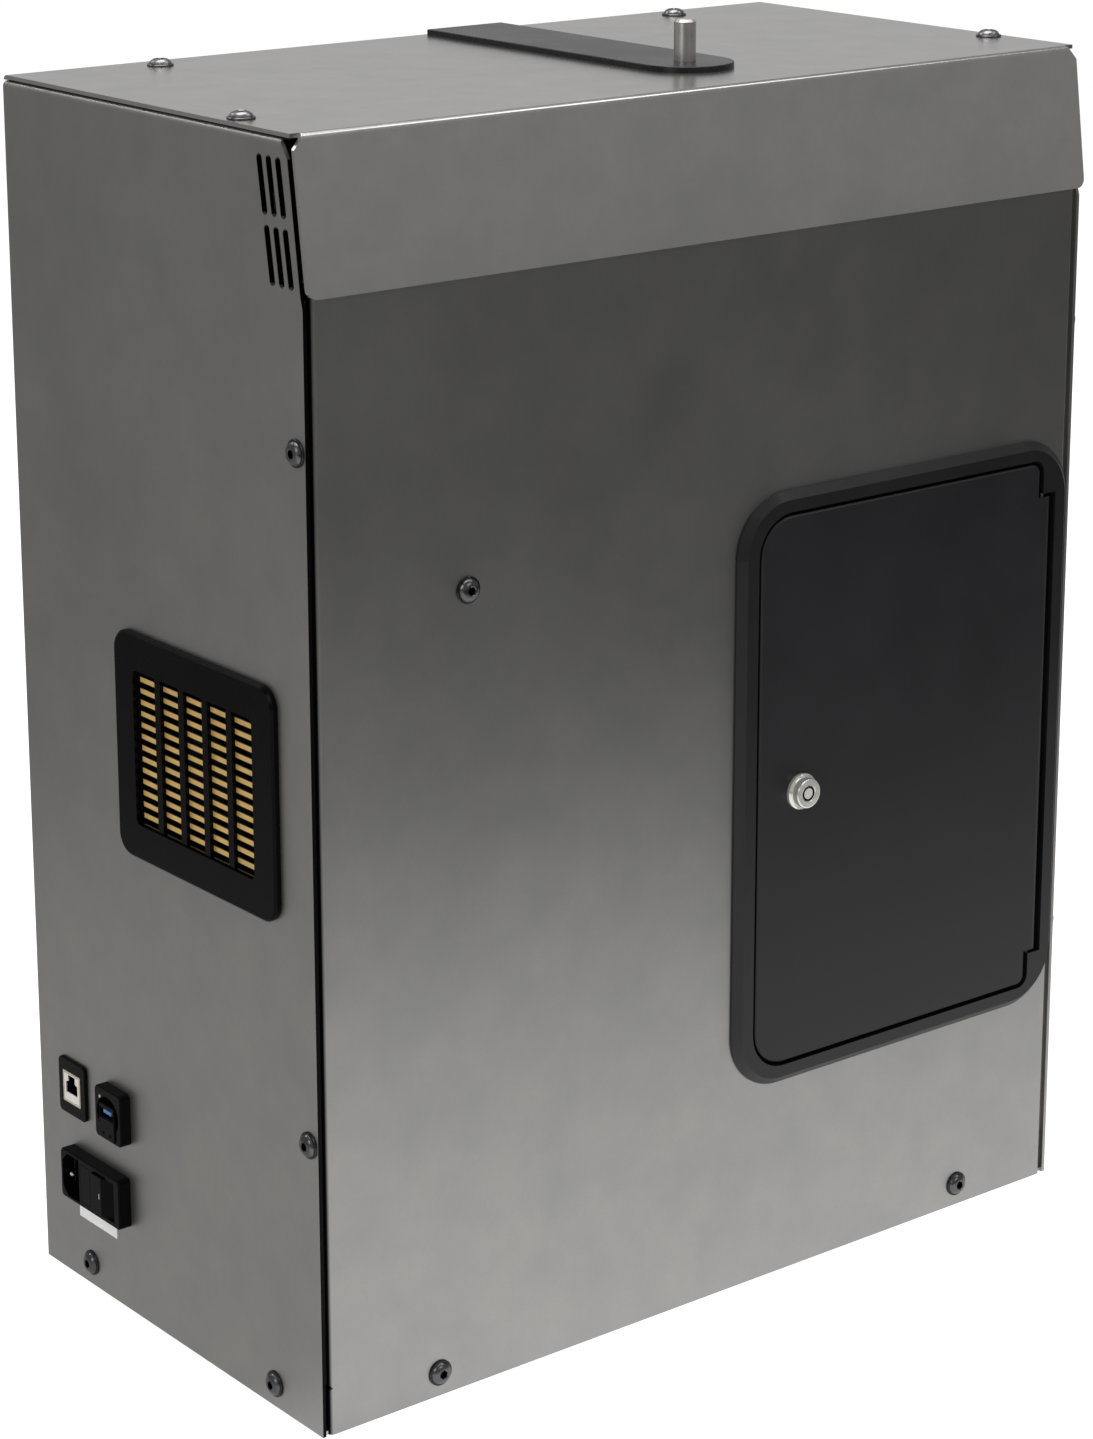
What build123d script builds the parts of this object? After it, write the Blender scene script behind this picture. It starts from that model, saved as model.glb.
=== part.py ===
from build123d import *
import os
from math import cos, radians, tan

# Benchtop time-of-flight mass spectrometer in a folded stainless cabinet.
# Millimetres, +Z up. The front faces -Y and the connectors are on the -X side.
# The functions work from the cabinet's own middle: X and Y from its centre, Z from its
# underside. save() then moves each piece so that the origin is at the middle of the base
# of the whole instrument's box.

# ---------------------------------------------------------------- cabinet
WIDTH = 500.0
DEPTH = 260.0
HEIGHT = 640.0
SHEET = 2.0                     # wall of every outer panel
BEND = 3.0                      # outer radius of a fold
FRAME_SHEET = 2.0               # wall of the posts, rails and deck
LEFT = -WIDTH / 2
RIGHT = WIDTH / 2
FRONT = -DEPTH / 2
BACK = DEPTH / 2

# visor: the sloping front of the hood
VISOR_DROP = 74.2
VISOR_SET_BACK = 6.6            # top fold, behind the front panel's face
VISOR_PROUD = 3.5               # bottom edge, in front of the front panel's face
VISOR_SEAM = 3.4                # dark seam between the visor and the side panels
VISOR_CORNER = 5.0
HOOD_INSET = 0.5                # hood's side edges, inside the side panels' faces
HOOD_LIP = 0.8                  # seam under the hood's sheet
REAR_FLANGE = 22.0              # hood's fold down over the rear panel
CORNER_RELIEF = 7.0             # open notch where hood, visor and side panel meet

SIDE_FLANGE = 18.0              # side panels' inward fold under the hood
FLANGE_RELIEF = 9.0             # fold, behind the side panels' slanted edge
SIDE_CORNER = 3.5               # side panels' upper front corner, cut off
SIDE_EDGE_SET_BACK = 0.5        # side panels' front edge, behind the front face

FRONT_GAP = 4.0                 # front panel's side edge, inside the cabinet's side
FRONT_TOP_CLEAR = 6.0           # front panel's top, above the visor's bottom edge
FRONT_RETURN = 16.0             # front panel's folds back at its sides and top
RELIEF_HEIGHT = 25.0            # bottom of the side folds
RELIEF_NOTCH = 3.0

# ---------------------------------------------------------------- inner frame
PAN_FLANGE = 26.0
POST_LEG = 20.0
POST_SET_BACK = 2.0             # posts, behind the front panel's inner face
RAIL_DROP = 44.0
RAIL_LEG = 28.0
DECK_EDGE = 18.0

# ---------------------------------------------------------------- feet
FOOT_HEIGHT = 6.0
FOOT_RADIUS = 13.0
FOOT_INSET = 42.0
FOOT_TAPER = 1.5

# ---------------------------------------------------------------- fasteners (M6, flanged button head)
FLANGE_RADIUS = 6.8
FLANGE_THICK = 1.2
HEAD_RADIUS = 5.6
HEAD_HEIGHT = 3.6
DOME_RADIUS = 7.0
HEX_KEY = 4.0
SHANK_RADIUS = 3.0
SHANK_LENGTH = 12.0
HOLE_CLEARANCE = 0.2
NUT_RADIUS = 4.2
NUT_FLANGE_RADIUS = 4.6
NUT_LENGTH = 6.0
NUT_FLANGE = 0.8

# places of the screws: the insets are from the nearest sides, the drops from the top
SIDE_SCREW_SET_BACK = 7.6
SIDE_SCREW_LOW = 152.4
SIDE_SCREW_DROP = 146.3
SIDE_SCREW_HEIGHTS = (SIDE_SCREW_LOW, HEIGHT - SIDE_SCREW_DROP)
PAN_SCREW_HEIGHT = 12.6
PAN_SCREW_FRONT_INSET = 41.4
PAN_SCREW_BACK_INSET = 46.0
SIDE_PAN_SCREWS = (FRONT + PAN_SCREW_FRONT_INSET, BACK - PAN_SCREW_BACK_INSET)
FRONT_PAN_INSET = 71.0
FRONT_PAN_SCREW = RIGHT - FRONT_PAN_INSET
BRACKET_SCREW_INSET = 91.8
BRACKET_SCREW_DROP = 225.3
BRACKET_SCREW = (LEFT + BRACKET_SCREW_INSET, HEIGHT - BRACKET_SCREW_DROP)
TOP_FRONT_INSET = 10.0
TOP_FRONT_SET_BACK = 61.7
TOP_FRONT_SCREW = (RIGHT - TOP_FRONT_INSET, FRONT + TOP_FRONT_SET_BACK)
TOP_REAR_INSET = 80.0
TOP_REAR_SET_IN = 20.0
TOP_REAR_SCREW = (RIGHT - TOP_REAR_INSET, BACK - TOP_REAR_SET_IN)
REAR_TOP_INSET = 70.0
REAR_TOP_DROP = 34.0
REAR_TOP_SCREW = (RIGHT - REAR_TOP_INSET, HEIGHT - REAR_TOP_DROP)
REAR_MID_SCREW = (RIGHT - SHEET - POST_LEG / 2, HEIGHT / 2)

# ---------------------------------------------------------------- vent slots
SLOT_WIDTH = 4.4
SLOT_LENGTH = 28.0
SLOT_PITCH = 7.5
SLOT_ROW_PITCH = 32.0
SLOT_TILT = 9.0
SLOTS_IN_ROW = 3
SLOT_MARGIN = 4.0               # front posts, under the lower row
SLOT_SET_BACK = 23.5            # middle of the upper row, behind the front face
SLOT_DROP = 25.4                # and under the top
SLOT_FIRST = (FRONT + SLOT_SET_BACK, HEIGHT - SLOT_DROP)

# ---------------------------------------------------------------- air inlet
GRILLE_SET_BACK = 97.0
GRILLE_HEIGHT = 317.5
GRILLE_PLACE = (FRONT + GRILLE_SET_BACK, GRILLE_HEIGHT)
GRILLE_SIZE = (140.0, 118.0)
GRILLE_OPENING = (105.0, 80.5)
GRILLE_CORNER = 11.0
GRILLE_OPENING_CORNER = 3.0
GRILLE_PROUD = 3.6
GRILLE_BEVEL = 1.2
GRILLE_COLLAR = 3.4
GRILLE_BARS = 4
BAR_WIDTH = 4.8
BAR_DEPTH = 2.0
BAR_SINK = 1.0                  # bars, behind the grille's face
SCREEN_THICK = 0.8
SCREEN_LAP = 1.4                # screen, past the opening's edges
SCREEN_PLAY = 0.1
SCREEN_ROWS = 14
SCREEN_ROW_PITCH = 5.9
SCREEN_SLOT = 2.9
SCREEN_WEB = 2.5
FAN_SIZE = 92.0
FAN_DEPTH = 25.0
FAN_BORE = 43.5
FAN_WALL = 3.0
FAN_TIP_GAP = 1.0
FAN_HUB = 18.0
FAN_BLADES = 7
FAN_BLADE_PITCH = 38.0
FAN_BLADE_THICK = 1.8
FAN_MOTOR = 19.0
FAN_STRUT = 5.0
FAN_SHAFT = 2.0
RUNNING_CLEARANCE = 0.05

# ---------------------------------------------------------------- connectors on the left panel
ETHERNET_INSET = 34.5           # from the rear face
ETHERNET_PLACE = (BACK - ETHERNET_INSET, 108.5)
ETHERNET_FLANGE = (26.0, 31.0)
ETHERNET_PROUD = 2.0
JACK_SIZE = (17.0, 17.5)
JACK_SOCKET = (11.8, 8.6)
JACK_DEPTH = 21.0
USB_INSET = 77.0
USB_PLACE = (BACK - USB_INSET, 108.8)
USB_FLANGE = (25.0, 28.6)
USB_PROUD = 6.3
USB_PORT = (13.2, 5.8)
USB_PORT_RISE = 1.0
USB_WELL = (17.5, 20.5)
USB_RING = 10.4                 # round recess in the housing's face
USB_RING_DEPTH = 3.0
USB_BLOCK = (14.5, 19.5)        # block with the port, in front of the recess
USB_BLOCK_DROP = 3.6            # block's middle, under the housing's
USB_BLOCK_PROUD = 0.8
CONNECTOR_CORNER = 3.0
CONNECTOR_DEPTH = 24.0
CUTOUT_CLEARANCE = 0.4

INLET_INSET = 58.1
INLET_PLACE = (BACK - INLET_INSET, 61.6)
INLET_FACE = (57.8, 27.8)
INLET_BODY = (52.0, 25.6)
INLET_PROUD = 7.35
INLET_DEPTH = 28.0              # from the bezel's face to the back of the body
INLET_CORNER = 2.5
SOCKET_OFFSET = 18.7            # mains socket's centre, behind the module's centre
SOCKET_SIZE = (16.4, 24.3)
SOCKET_DEPTH = 17.5
SOCKET_CHAMFER = 5.0
PIN_SIZE = (4.0, 2.0)
PIN_LENGTH = 12.0
PIN_SPREAD = 7.0
PIN_ROW = 2.0
ROCKER_OFFSET = -13.5           # rocker's centre, ahead of the module's centre
ROCKER_ANGLE = 24.0
ROCKER_PIVOT_DEPTH = 4.0
ROCKER_PROUD = 1.4
ROCKER_HALF = 9.6
ROCKER_HEIGHT = 21.4
ROCKER_BASE = 4.5               # flat bottom, behind the pivot
ROCKER_GAP = 0.35
ROCKER_TRUNNION = 1.5
TRUNNION_LENGTH = 1.2
DRAWER_OFFSET = 4.35            # fuse drawer's centre, behind the module's centre
DRAWER_SIZE = (9.0, 21.0)
DRAWER_LENGTH = 25.0
DRAWER_GAP = 0.3
FUSE_RADIUS = 2.6
FUSE_LENGTH = 20.0
FUSE_SPREAD = 5.0

# ---------------------------------------------------------------- access door
DOOR_INSET = 121.8              # frame's middle, from the right side
DOOR_PLACE = (RIGHT - DOOR_INSET, 271.0)
DOOR_FRAME = (235.0, 322.0)
DOOR_FRAME_PROUD = 4.8
DOOR_FRAME_BEVEL = 4.2
DOOR_FRAME_CORNER = 32.0
RIM_LEFT = 13.6                 # frame's edge to the leaf
RIM_RIGHT = 13.4
RIM_HEIGHT = 12.7
LEAF_CORNER = 20.0
LEAF_HINGE_CORNER = 5.0
LEAF_DEPTH = 9.0
LEAF_WALL = 2.5
LEAF_EDGE = 0.8
DOOR_GAP = 2.0
HINGE_STRIP = 10.0
HINGE_NOTCH = 18.8              # leaf, above and below its hinge strip
HINGE_PLAY = 0.4
KNUCKLE = 4.5
HINGE_PIN = 1.5
HINGE_PIN_LENGTH = 14.0
COLLAR_WALL = 3.0
STOP_THICK = 3.0
STOP_GAP = 0.5
STOP_OVERLAP = 12.0

# cam lock
LOCK_INSET = 28.7               # from the leaf's left edge
LOCK_FLANGE_RADIUS = 9.6
LOCK_FLANGE = 2.4
LOCK_NOSE_RADIUS = 7.8
LOCK_NOSE = 6.6                 # face of the lock, in front of the leaf
LOCK_BARREL = 8.0
LOCK_PLUG = 4.6
KEYWAY_OUTER = 4.2
KEYWAY_INNER = 2.9
KEYWAY_DEPTH = 4.0
LOCK_NUT_RADIUS = 12.0
LOCK_NUT_THICK = 3.0
CAM_THICK = 2.0
CAM_WIDTH = 13.0
CAM_REACH = 23.5                # from the plug's axis to the cam's tip
CAM_HUB = 8.0
CAM_GAP = 0.6                   # cam, behind the frame's stop lip
CAM_PLAY = 0.4                  # cam, behind the barrel's end

# ---------------------------------------------------------------- bay behind the door
BAY_DEPTH = 116.0
BAY_WALL = 1.5
BAY_MARGIN = 8.0                # bay's inner wall, outside the clear opening

# ---------------------------------------------------------------- strap and locating pin on the top
STRAP_INSET = 216.0             # strap's middle, from the right side
STRAP_WIDTH = 50.0
STRAP_THICK = 3.0
STRAP_BACK = 5.0                # from the hood's rear face
TOP_PIN_SET_BACK = 70.5
TOP_PIN_SEAT = 1.0              # pin's foot, sunk in the strap
TOP_PIN_RELIEF = 0.4            # the foot's step in from the pin's side
TOP_PIN_RADIUS = 5.6
TOP_PIN_HEIGHT = 21.0
TOP_PIN_CHAMFER = 1.2
TOP_PIN_SHANK = 4.0
TOP_PIN_NUT = 6.5
TOP_PIN_NUT_THICK = 6.5

# ---------------------------------------------------------------- vacuum system and electronics
TUBE_X = BRACKET_SCREW[0]
TUBE_RADIUS = 48.0
TUBE_WALL = 2.5
TUBE_FLANGE_RADIUS = 62.0
TUBE_FLANGE = 12.0
TUBE_TOP_GAP = 41.0             # over the detector's feedthroughs
CHAMBER_SIZE = (132.0, 132.0, 110.0)
CHAMBER_WALL = 14.0
CHAMBER_SEAT = 4.0              # chamber's floor, inside the turbo pump's rim
SOURCE_EXIT = 20.0
SOURCE_BLOCK = 14.0
LENS_RADIUS = 28.0
LENS_THICK = 2.0
LENS_PITCH = 8.0
LENS_COUNT = 3
LENS_BORE = 5.0
LENS_ROD = 2.0
DETECTOR_RADIUS = 52.0
DETECTOR_HEIGHT = 46.0
FEEDTHROUGH_RADIUS = 9.0
FEEDTHROUGH_HEIGHT = 12.0
TURBO_RADIUS = 48.0
TURBO_HEIGHT = 84.0
TURBO_FLANGE_RADIUS = 60.0
TURBO_FLANGE = 9.0
TURBO_FIN = 2.5
PROBE_HEIGHT = 62.0             # above the deck
PROBE_RADIUS = 6.0
PROBE_TIP_GAP = 7.5             # tip, beside the tube's axis
PROBE_TRAVEL = 90.0
PORT_RADIUS = 15.0
PORT_FLANGE = 8.0
PORT_SIDE_GAP = 1.0             # port, in front of the bay's rear wall
PORT_NECK_GAP = 0.2
PORT_STEP = 4.0
KNOB_RADIUS = 15.0
KNOB_LENGTH = 26.0
KNOB_GAP = 1.0                  # grip, in front of the port
PUMP_SIZE = (110.0, 90.0, 62.0)
FORELINE_RADIUS = 5.0
FORELINE_LENGTH = 15.2
SUPPLY_SIZE = (120.0, 150.0, 50.0)
SUPPLY_SIDE_GAP = 50.0
SUPPLY_BACK_GAP = 33.0
HV_SIZE = (130.0, 110.0, 60.0)
HV_SET_BACK = 10.0
BOARD_SIZE = (170.0, 1.6, 230.0)
STANDOFF_RADIUS = 3.5
STANDOFF_LENGTH = 14.0
BOARD_HOLE_INSET = 8.0
# components on the board: X and Z from its middle, then width, depth and height
PROCESSOR = (-40.0, 60.0, 36.0, 4.0, 36.0)
MEMORY = (35.0, 50.0, 24.0, 3.0, 24.0)
TERMINAL = (-30.0, -30.0, 60.0, 12.0, 14.0)
CONVERTER = (45.0, -50.0, 18.0, 16.0, 40.0)
BRACKET_WALL = 6.0
BRACKET_HEIGHT = 22.0
BRACKET_FOOT = (44.0, 34.0, 4.0)

# ---------------------------------------------------------------- faces that the rest lines up with
INNER_X = WIDTH / 2 - SHEET
FRONT_INNER = FRONT + SHEET
REAR_PANEL_BACK = BACK - SHEET
REAR_INNER = REAR_PANEL_BACK - SHEET
HOOD_UNDERSIDE = HEIGHT - SHEET
SIDE_TOP = HOOD_UNDERSIDE - HOOD_LIP
POST_TOP = SIDE_TOP - BEND
FRONT_POST_TOP = SLOT_FIRST[1] - SLOT_ROW_PITCH - SLOT_LENGTH / 2 - SLOT_MARGIN
VISOR_SLOPE = (VISOR_SET_BACK + VISOR_PROUD) / VISOR_DROP
VISOR_BOTTOM = HEIGHT - VISOR_DROP
FRONT_TOP = VISOR_BOTTOM + FRONT_TOP_CLEAR

LEAF_LEFT = DOOR_PLACE[0] - DOOR_FRAME[0] / 2 + RIM_LEFT
LEAF_WIDTH = DOOR_FRAME[0] - RIM_LEFT - RIM_RIGHT - HINGE_STRIP
LEAF_HEIGHT = DOOR_FRAME[1] - 2 * RIM_HEIGHT
HINGE_HEIGHT = LEAF_HEIGHT - 2 * HINGE_NOTCH
LEAF_FACE = FRONT - DOOR_FRAME_PROUD
LEAF_BACK = LEAF_FACE + LEAF_DEPTH
STOP_FACE = LEAF_BACK + STOP_GAP
STOP_BACK = STOP_FACE + STOP_THICK
LEAF_RIGHT = LEAF_LEFT + LEAF_WIDTH
HINGE_X = LEAF_RIGHT + HINGE_STRIP - KNUCKLE
HINGE_Y = LEAF_FACE + KNUCKLE
HINGE_REACH = HINGE_STRIP - KNUCKLE
HINGE_GAP = HINGE_REACH - max(HINGE_REACH ** 2 - KNUCKLE ** 2, 0) ** 0.5 + HINGE_PLAY
DOOR_Z = DOOR_PLACE[1]
LOCK_X = LEAF_LEFT + LOCK_INSET
CAM_FRONT = STOP_BACK + CAM_GAP
LOCK_BARREL_LENGTH = CAM_FRONT - CAM_PLAY - LEAF_FACE

BAY_LOW = (LEAF_LEFT + STOP_OVERLAP - BAY_MARGIN, DOOR_Z - LEAF_HEIGHT / 2 + STOP_OVERLAP - BAY_MARGIN)
BAY_HIGH = (LEAF_RIGHT - STOP_OVERLAP + BAY_MARGIN, DOOR_Z + LEAF_HEIGHT / 2 - STOP_OVERLAP + BAY_MARGIN)
DECK_TOP = BAY_LOW[1] - BAY_WALL
TUBE_Y = STOP_BACK + BAY_DEPTH - PORT_RADIUS - PORT_SIDE_GAP
CHAMBER_TOP = DECK_TOP + CHAMBER_SIZE[2]
TUBE_TOP = POST_TOP - TUBE_TOP_GAP - FEEDTHROUGH_HEIGHT - DETECTOR_HEIGHT
TUBE_LENGTH = TUBE_TOP - CHAMBER_TOP
KNOB_X = BAY_LOW[0] + PORT_FLANGE + KNOB_GAP
PROBE_LENGTH = KNOB_X - PROBE_TIP_GAP - TUBE_X
PUMP_X = TUBE_X + TURBO_RADIUS + FORELINE_LENGTH + PUMP_SIZE[0] / 2
SUPPLY_X = RIGHT - SUPPLY_SIDE_GAP - SUPPLY_SIZE[0] / 2
SUPPLY_Y = BACK - SUPPLY_BACK_GAP - SHEET - SUPPLY_SIZE[1] / 2
STRAP_X = RIGHT - STRAP_INSET
TOP_PIN_Y = FRONT + TOP_PIN_SET_BACK

BEZEL_X = LEFT - INLET_PROUD
ROCKER_Y = INLET_PLACE[0] + ROCKER_OFFSET
ROCKER_X = BEZEL_X + ROCKER_PIVOT_DEPTH

# the whole instrument's box, which the origin is centred under
REACH_LEFT = WIDTH / 2 + max(INLET_PROUD + ROCKER_PROUD, HEAD_HEIGHT)
REACH_RIGHT = WIDTH / 2 + HEAD_HEIGHT
REACH_FRONT = DEPTH / 2 + DOOR_FRAME_PROUD + LOCK_NOSE
REACH_BACK = max(DEPTH / 2, DEPTH / 2 - SHEET + HEAD_HEIGHT)
ORIGIN_SHIFT = Pos((REACH_LEFT - REACH_RIGHT) / 2, (REACH_FRONT - REACH_BACK) / 2, FOOT_HEIGHT)


# ================================================================ helpers
UP = (Align.CENTER, Align.CENTER, Align.MIN)        # stands on its own origin
DOWN = (Align.CENTER, Align.CENTER, Align.MAX)      # hangs from its own origin


def save(name, *solids):
    """Write one node: its solids, moved to the instrument's own origin."""
    placed = [ORIGIN_SHIFT * solid for item in solids for solid in item.solids()]
    shape = placed[0] if len(placed) == 1 else Compound(children=placed)
    shape.label = name
    export_step(shape, f"parts/{name}.step")


def block(low, high):
    """A box from its lowest corner to its highest."""
    middle = [(a + b) / 2 for a, b in zip(low, high)]
    size = [b - a for a, b in zip(low, high)]
    return Pos(*middle) * Box(*size)


def left_face(y, z, proud=0.0):
    """A plane on the left panel: local X to the front, local Y up, local Z outwards."""
    return Plane((LEFT - proud, y, z), x_dir=(0, -1, 0), z_dir=(-1, 0, 0))


def right_face(y, z):
    return Plane((RIGHT, y, z), x_dir=(0, 1, 0), z_dir=(1, 0, 0))


def front_face(x, z, y=FRONT):
    """A plane on the front: local X to the right, local Y up, local Z outwards."""
    return Plane((x, y, z), x_dir=(1, 0, 0), z_dir=(0, -1, 0))


def rear_face(x, z):
    return Plane((x, REAR_PANEL_BACK, z), x_dir=(-1, 0, 0), z_dir=(0, 1, 0))


def top_face(x, y):
    return Plane((x, y, HEIGHT))


def plate(plane, width, height, thick, corner=0.0):
    """A plate with round corners that stands out of a plane by its thickness."""
    outline = RectangleRounded(width, height, corner) if corner else Rectangle(width, height)
    return extrude(plane * outline, thick)


def folded_sheet(points, thick, bend, low_x, high_x):
    """A sheet folded along X: the outer line of its section as (Y, Z) points."""
    line = FilletPolyline(*points, radius=bend)
    section = make_face(Wire(line.edges()).offset_2d(thick, side=Side.LEFT))
    return Pos(low_x, 0, 0) * extrude(Plane.YZ * section, high_x - low_x)


def screw_hole(plane, depth=4 * SHANK_LENGTH):
    """The clearance hole that a panel screw passes through, cut along a plane's normal."""
    return plane * Cylinder(SHANK_RADIUS + HOLE_CLEARANCE, depth)


# ================================================================ fasteners
def panel_screw():
    """A flanged button-head screw: head above Z = 0, shank below it."""
    flange = Cylinder(FLANGE_RADIUS, FLANGE_THICK, align=UP)
    flange = chamfer(flange.edges().group_by(Axis.Z)[-1], FLANGE_THICK / 2)
    dome = Pos(0, 0, FLANGE_THICK - (DOME_RADIUS ** 2 - HEAD_RADIUS ** 2) ** 0.5) * Sphere(DOME_RADIUS)
    head = Cylinder(HEAD_RADIUS, HEAD_HEIGHT, align=UP) & dome
    socket = extrude(RegularPolygon(HEX_KEY / 2, 6, major_radius=False), HEAD_HEIGHT * 0.6)
    socket = Pos(0, 0, HEAD_HEIGHT * 0.4) * socket
    shank = Cylinder(SHANK_RADIUS, SHANK_LENGTH, align=DOWN)
    return flange + head + shank - socket


def rivet_nut():
    """A rivet nut behind a sheet at Z = 0: its flange touches the sheet from below."""
    collar = Cylinder(NUT_FLANGE_RADIUS, NUT_FLANGE, align=DOWN)
    barrel = Cylinder(NUT_RADIUS, NUT_LENGTH, align=DOWN)
    return collar + barrel - Cylinder(SHANK_RADIUS + HOLE_CLEARANCE / 4, 3 * NUT_LENGTH)


def left_screw_planes():
    uprights = [left_face(FRONT + SIDE_SCREW_SET_BACK, z) for z in SIDE_SCREW_HEIGHTS]
    return uprights + [left_face(y, PAN_SCREW_HEIGHT) for y in SIDE_PAN_SCREWS]


def right_screw_planes():
    uprights = [right_face(FRONT + SIDE_SCREW_SET_BACK, z) for z in SIDE_SCREW_HEIGHTS]
    return uprights + [right_face(y, PAN_SCREW_HEIGHT) for y in SIDE_PAN_SCREWS]


def front_pan_planes():
    return [front_face(side * FRONT_PAN_SCREW, PAN_SCREW_HEIGHT) for side in (-1, 1)]


def bracket_plane():
    return front_face(*BRACKET_SCREW)


def top_front_planes():
    return [top_face(side * TOP_FRONT_SCREW[0], TOP_FRONT_SCREW[1]) for side in (-1, 1)]


def top_rear_planes():
    return [top_face(side * TOP_REAR_SCREW[0], TOP_REAR_SCREW[1]) for side in (-1, 1)]


def rear_planes():
    places = [(FRONT_PAN_SCREW, PAN_SCREW_HEIGHT), REAR_MID_SCREW, REAR_TOP_SCREW]
    return [rear_face(side * x, z) for x, z in places for side in (-1, 1)]


def screws(planes):
    return [plane * panel_screw() for plane in planes]


def nuts_behind(planes, depth):
    """Rivet nuts behind the sheets that lie on the planes, with the sheets' total depth."""
    return [plane.offset(-depth) * rivet_nut() for plane in planes]


def rivet_nuts():
    """One nut behind every panel screw, against the innermost sheet there."""
    upright = SHEET + FRAME_SHEET + SHEET
    nuts = nuts_behind(left_screw_planes()[:2] + right_screw_planes()[:2], upright)
    nuts += nuts_behind(left_screw_planes()[2:] + right_screw_planes()[2:], SHEET + FRAME_SHEET)
    nuts += nuts_behind(front_pan_planes() + rear_planes(), SHEET + FRAME_SHEET)
    nuts += nuts_behind([bracket_plane()], SHEET + BRACKET_FOOT[2])
    nuts += nuts_behind(top_front_planes(), SHEET + HOOD_LIP + SHEET)
    nuts += nuts_behind(top_rear_planes(), SHEET + FRAME_SHEET)
    return nuts


# ================================================================ panels
def visor_y(z):
    """The visor's outer face at a height."""
    return FRONT + VISOR_SET_BACK - (HEIGHT - z) * VISOR_SLOPE


def slanted_edge(z):
    """The side panels' front edge behind the visor, at a height."""
    return visor_y(z) + SHEET + VISOR_SEAM


def visor_space():
    """Everything in front of the side panels' slanted edge, as a cutter."""
    outline = Polyline(
        (2 * FRONT, VISOR_BOTTOM), (slanted_edge(VISOR_BOTTOM), VISOR_BOTTOM),
        (slanted_edge(HEIGHT), HEIGHT), (2 * FRONT, HEIGHT), close=True,
    )
    return extrude(Plane.YZ * make_face(outline), WIDTH, both=True)


def vent_slots():
    """Two rows of slanted slots, as cutters through a side panel."""
    cutters = []
    for row in range(2):
        for column in range(SLOTS_IN_ROW):
            drop = row * SLOT_ROW_PITCH
            y = SLOT_FIRST[0] + (column - 1) * SLOT_PITCH - drop * tan(radians(SLOT_TILT))
            place = Plane((0, y, SLOT_FIRST[1] - drop), x_dir=(0, 1, 0), z_dir=(1, 0, 0))
            slot = Rot(0, 0, 90 - SLOT_TILT) * SlotOverall(SLOT_LENGTH, SLOT_WIDTH)
            cutters.append(extrude(place * slot, 2 * SHEET, both=True))
    return cutters


def side_panel():
    """The side panel's sheet, folded inwards under the hood, outer face at X = 0."""
    edge = FRONT + SIDE_EDGE_SET_BACK
    outline = Polyline(
        (edge, 0), (BACK, 0), (BACK, SIDE_TOP), (slanted_edge(SIDE_TOP), SIDE_TOP),
        (slanted_edge(VISOR_BOTTOM), VISOR_BOTTOM), (edge, VISOR_BOTTOM - VISOR_CORNER), close=True,
    )
    section = FilletPolyline((0, 0), (0, SIDE_TOP), (SIDE_FLANGE, SIDE_TOP), radius=BEND)
    ell = make_face(Wire(section.edges()).offset_2d(SHEET, side=Side.RIGHT))
    folded = extrude(Plane.XZ.offset(-BACK) * ell, DEPTH)
    folded -= block((SHEET, REAR_INNER - BEND, 0), (2 * SIDE_FLANGE, BACK + 1, HEIGHT))
    folded -= block((SHEET, FRONT - 1, 0), (2 * SIDE_FLANGE, slanted_edge(HEIGHT) + FLANGE_RELIEF, HEIGHT))
    corner = Pos(0, slanted_edge(SIDE_TOP), SIDE_TOP) * Rot(45, 0, 0)
    folded -= corner * Box(2 * SIDE_FLANGE, SIDE_CORNER * 2 ** 0.5, SIDE_CORNER * 2 ** 0.5)
    return folded & extrude(Plane.YZ * make_face(outline), SIDE_FLANGE)


def left_side_panel():
    panel = Pos(LEFT, 0, 0) * side_panel()
    panel -= [Pos(LEFT, 0, 0) * slot for slot in vent_slots()]
    collar = [size + 2 * GRILLE_COLLAR for size in GRILLE_OPENING]
    panel -= [
        plate(left_face(*GRILLE_PLACE), *collar, -2 * SHEET, GRILLE_OPENING_CORNER),
        plate(left_face(*ETHERNET_PLACE), *connector_cutout(JACK_SIZE), -2 * SHEET),
        plate(left_face(*USB_PLACE), *connector_cutout(USB_WELL), -2 * SHEET),
        plate(left_face(*INLET_PLACE), *connector_cutout(INLET_BODY), -2 * SHEET),
    ]
    for plane in left_screw_planes() + top_front_planes()[:1]:
        panel -= screw_hole(plane)
    return panel


def right_side_panel():
    panel = mirror(Pos(LEFT, 0, 0) * side_panel(), Plane.YZ)
    panel -= [Pos(RIGHT, 0, 0) * slot for slot in vent_slots()]
    for plane in right_screw_planes() + top_front_planes()[1:]:
        panel -= screw_hole(plane)
    return panel


def connector_cutout(size):
    return [side + 2 * CUTOUT_CLEARANCE for side in size]


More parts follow.
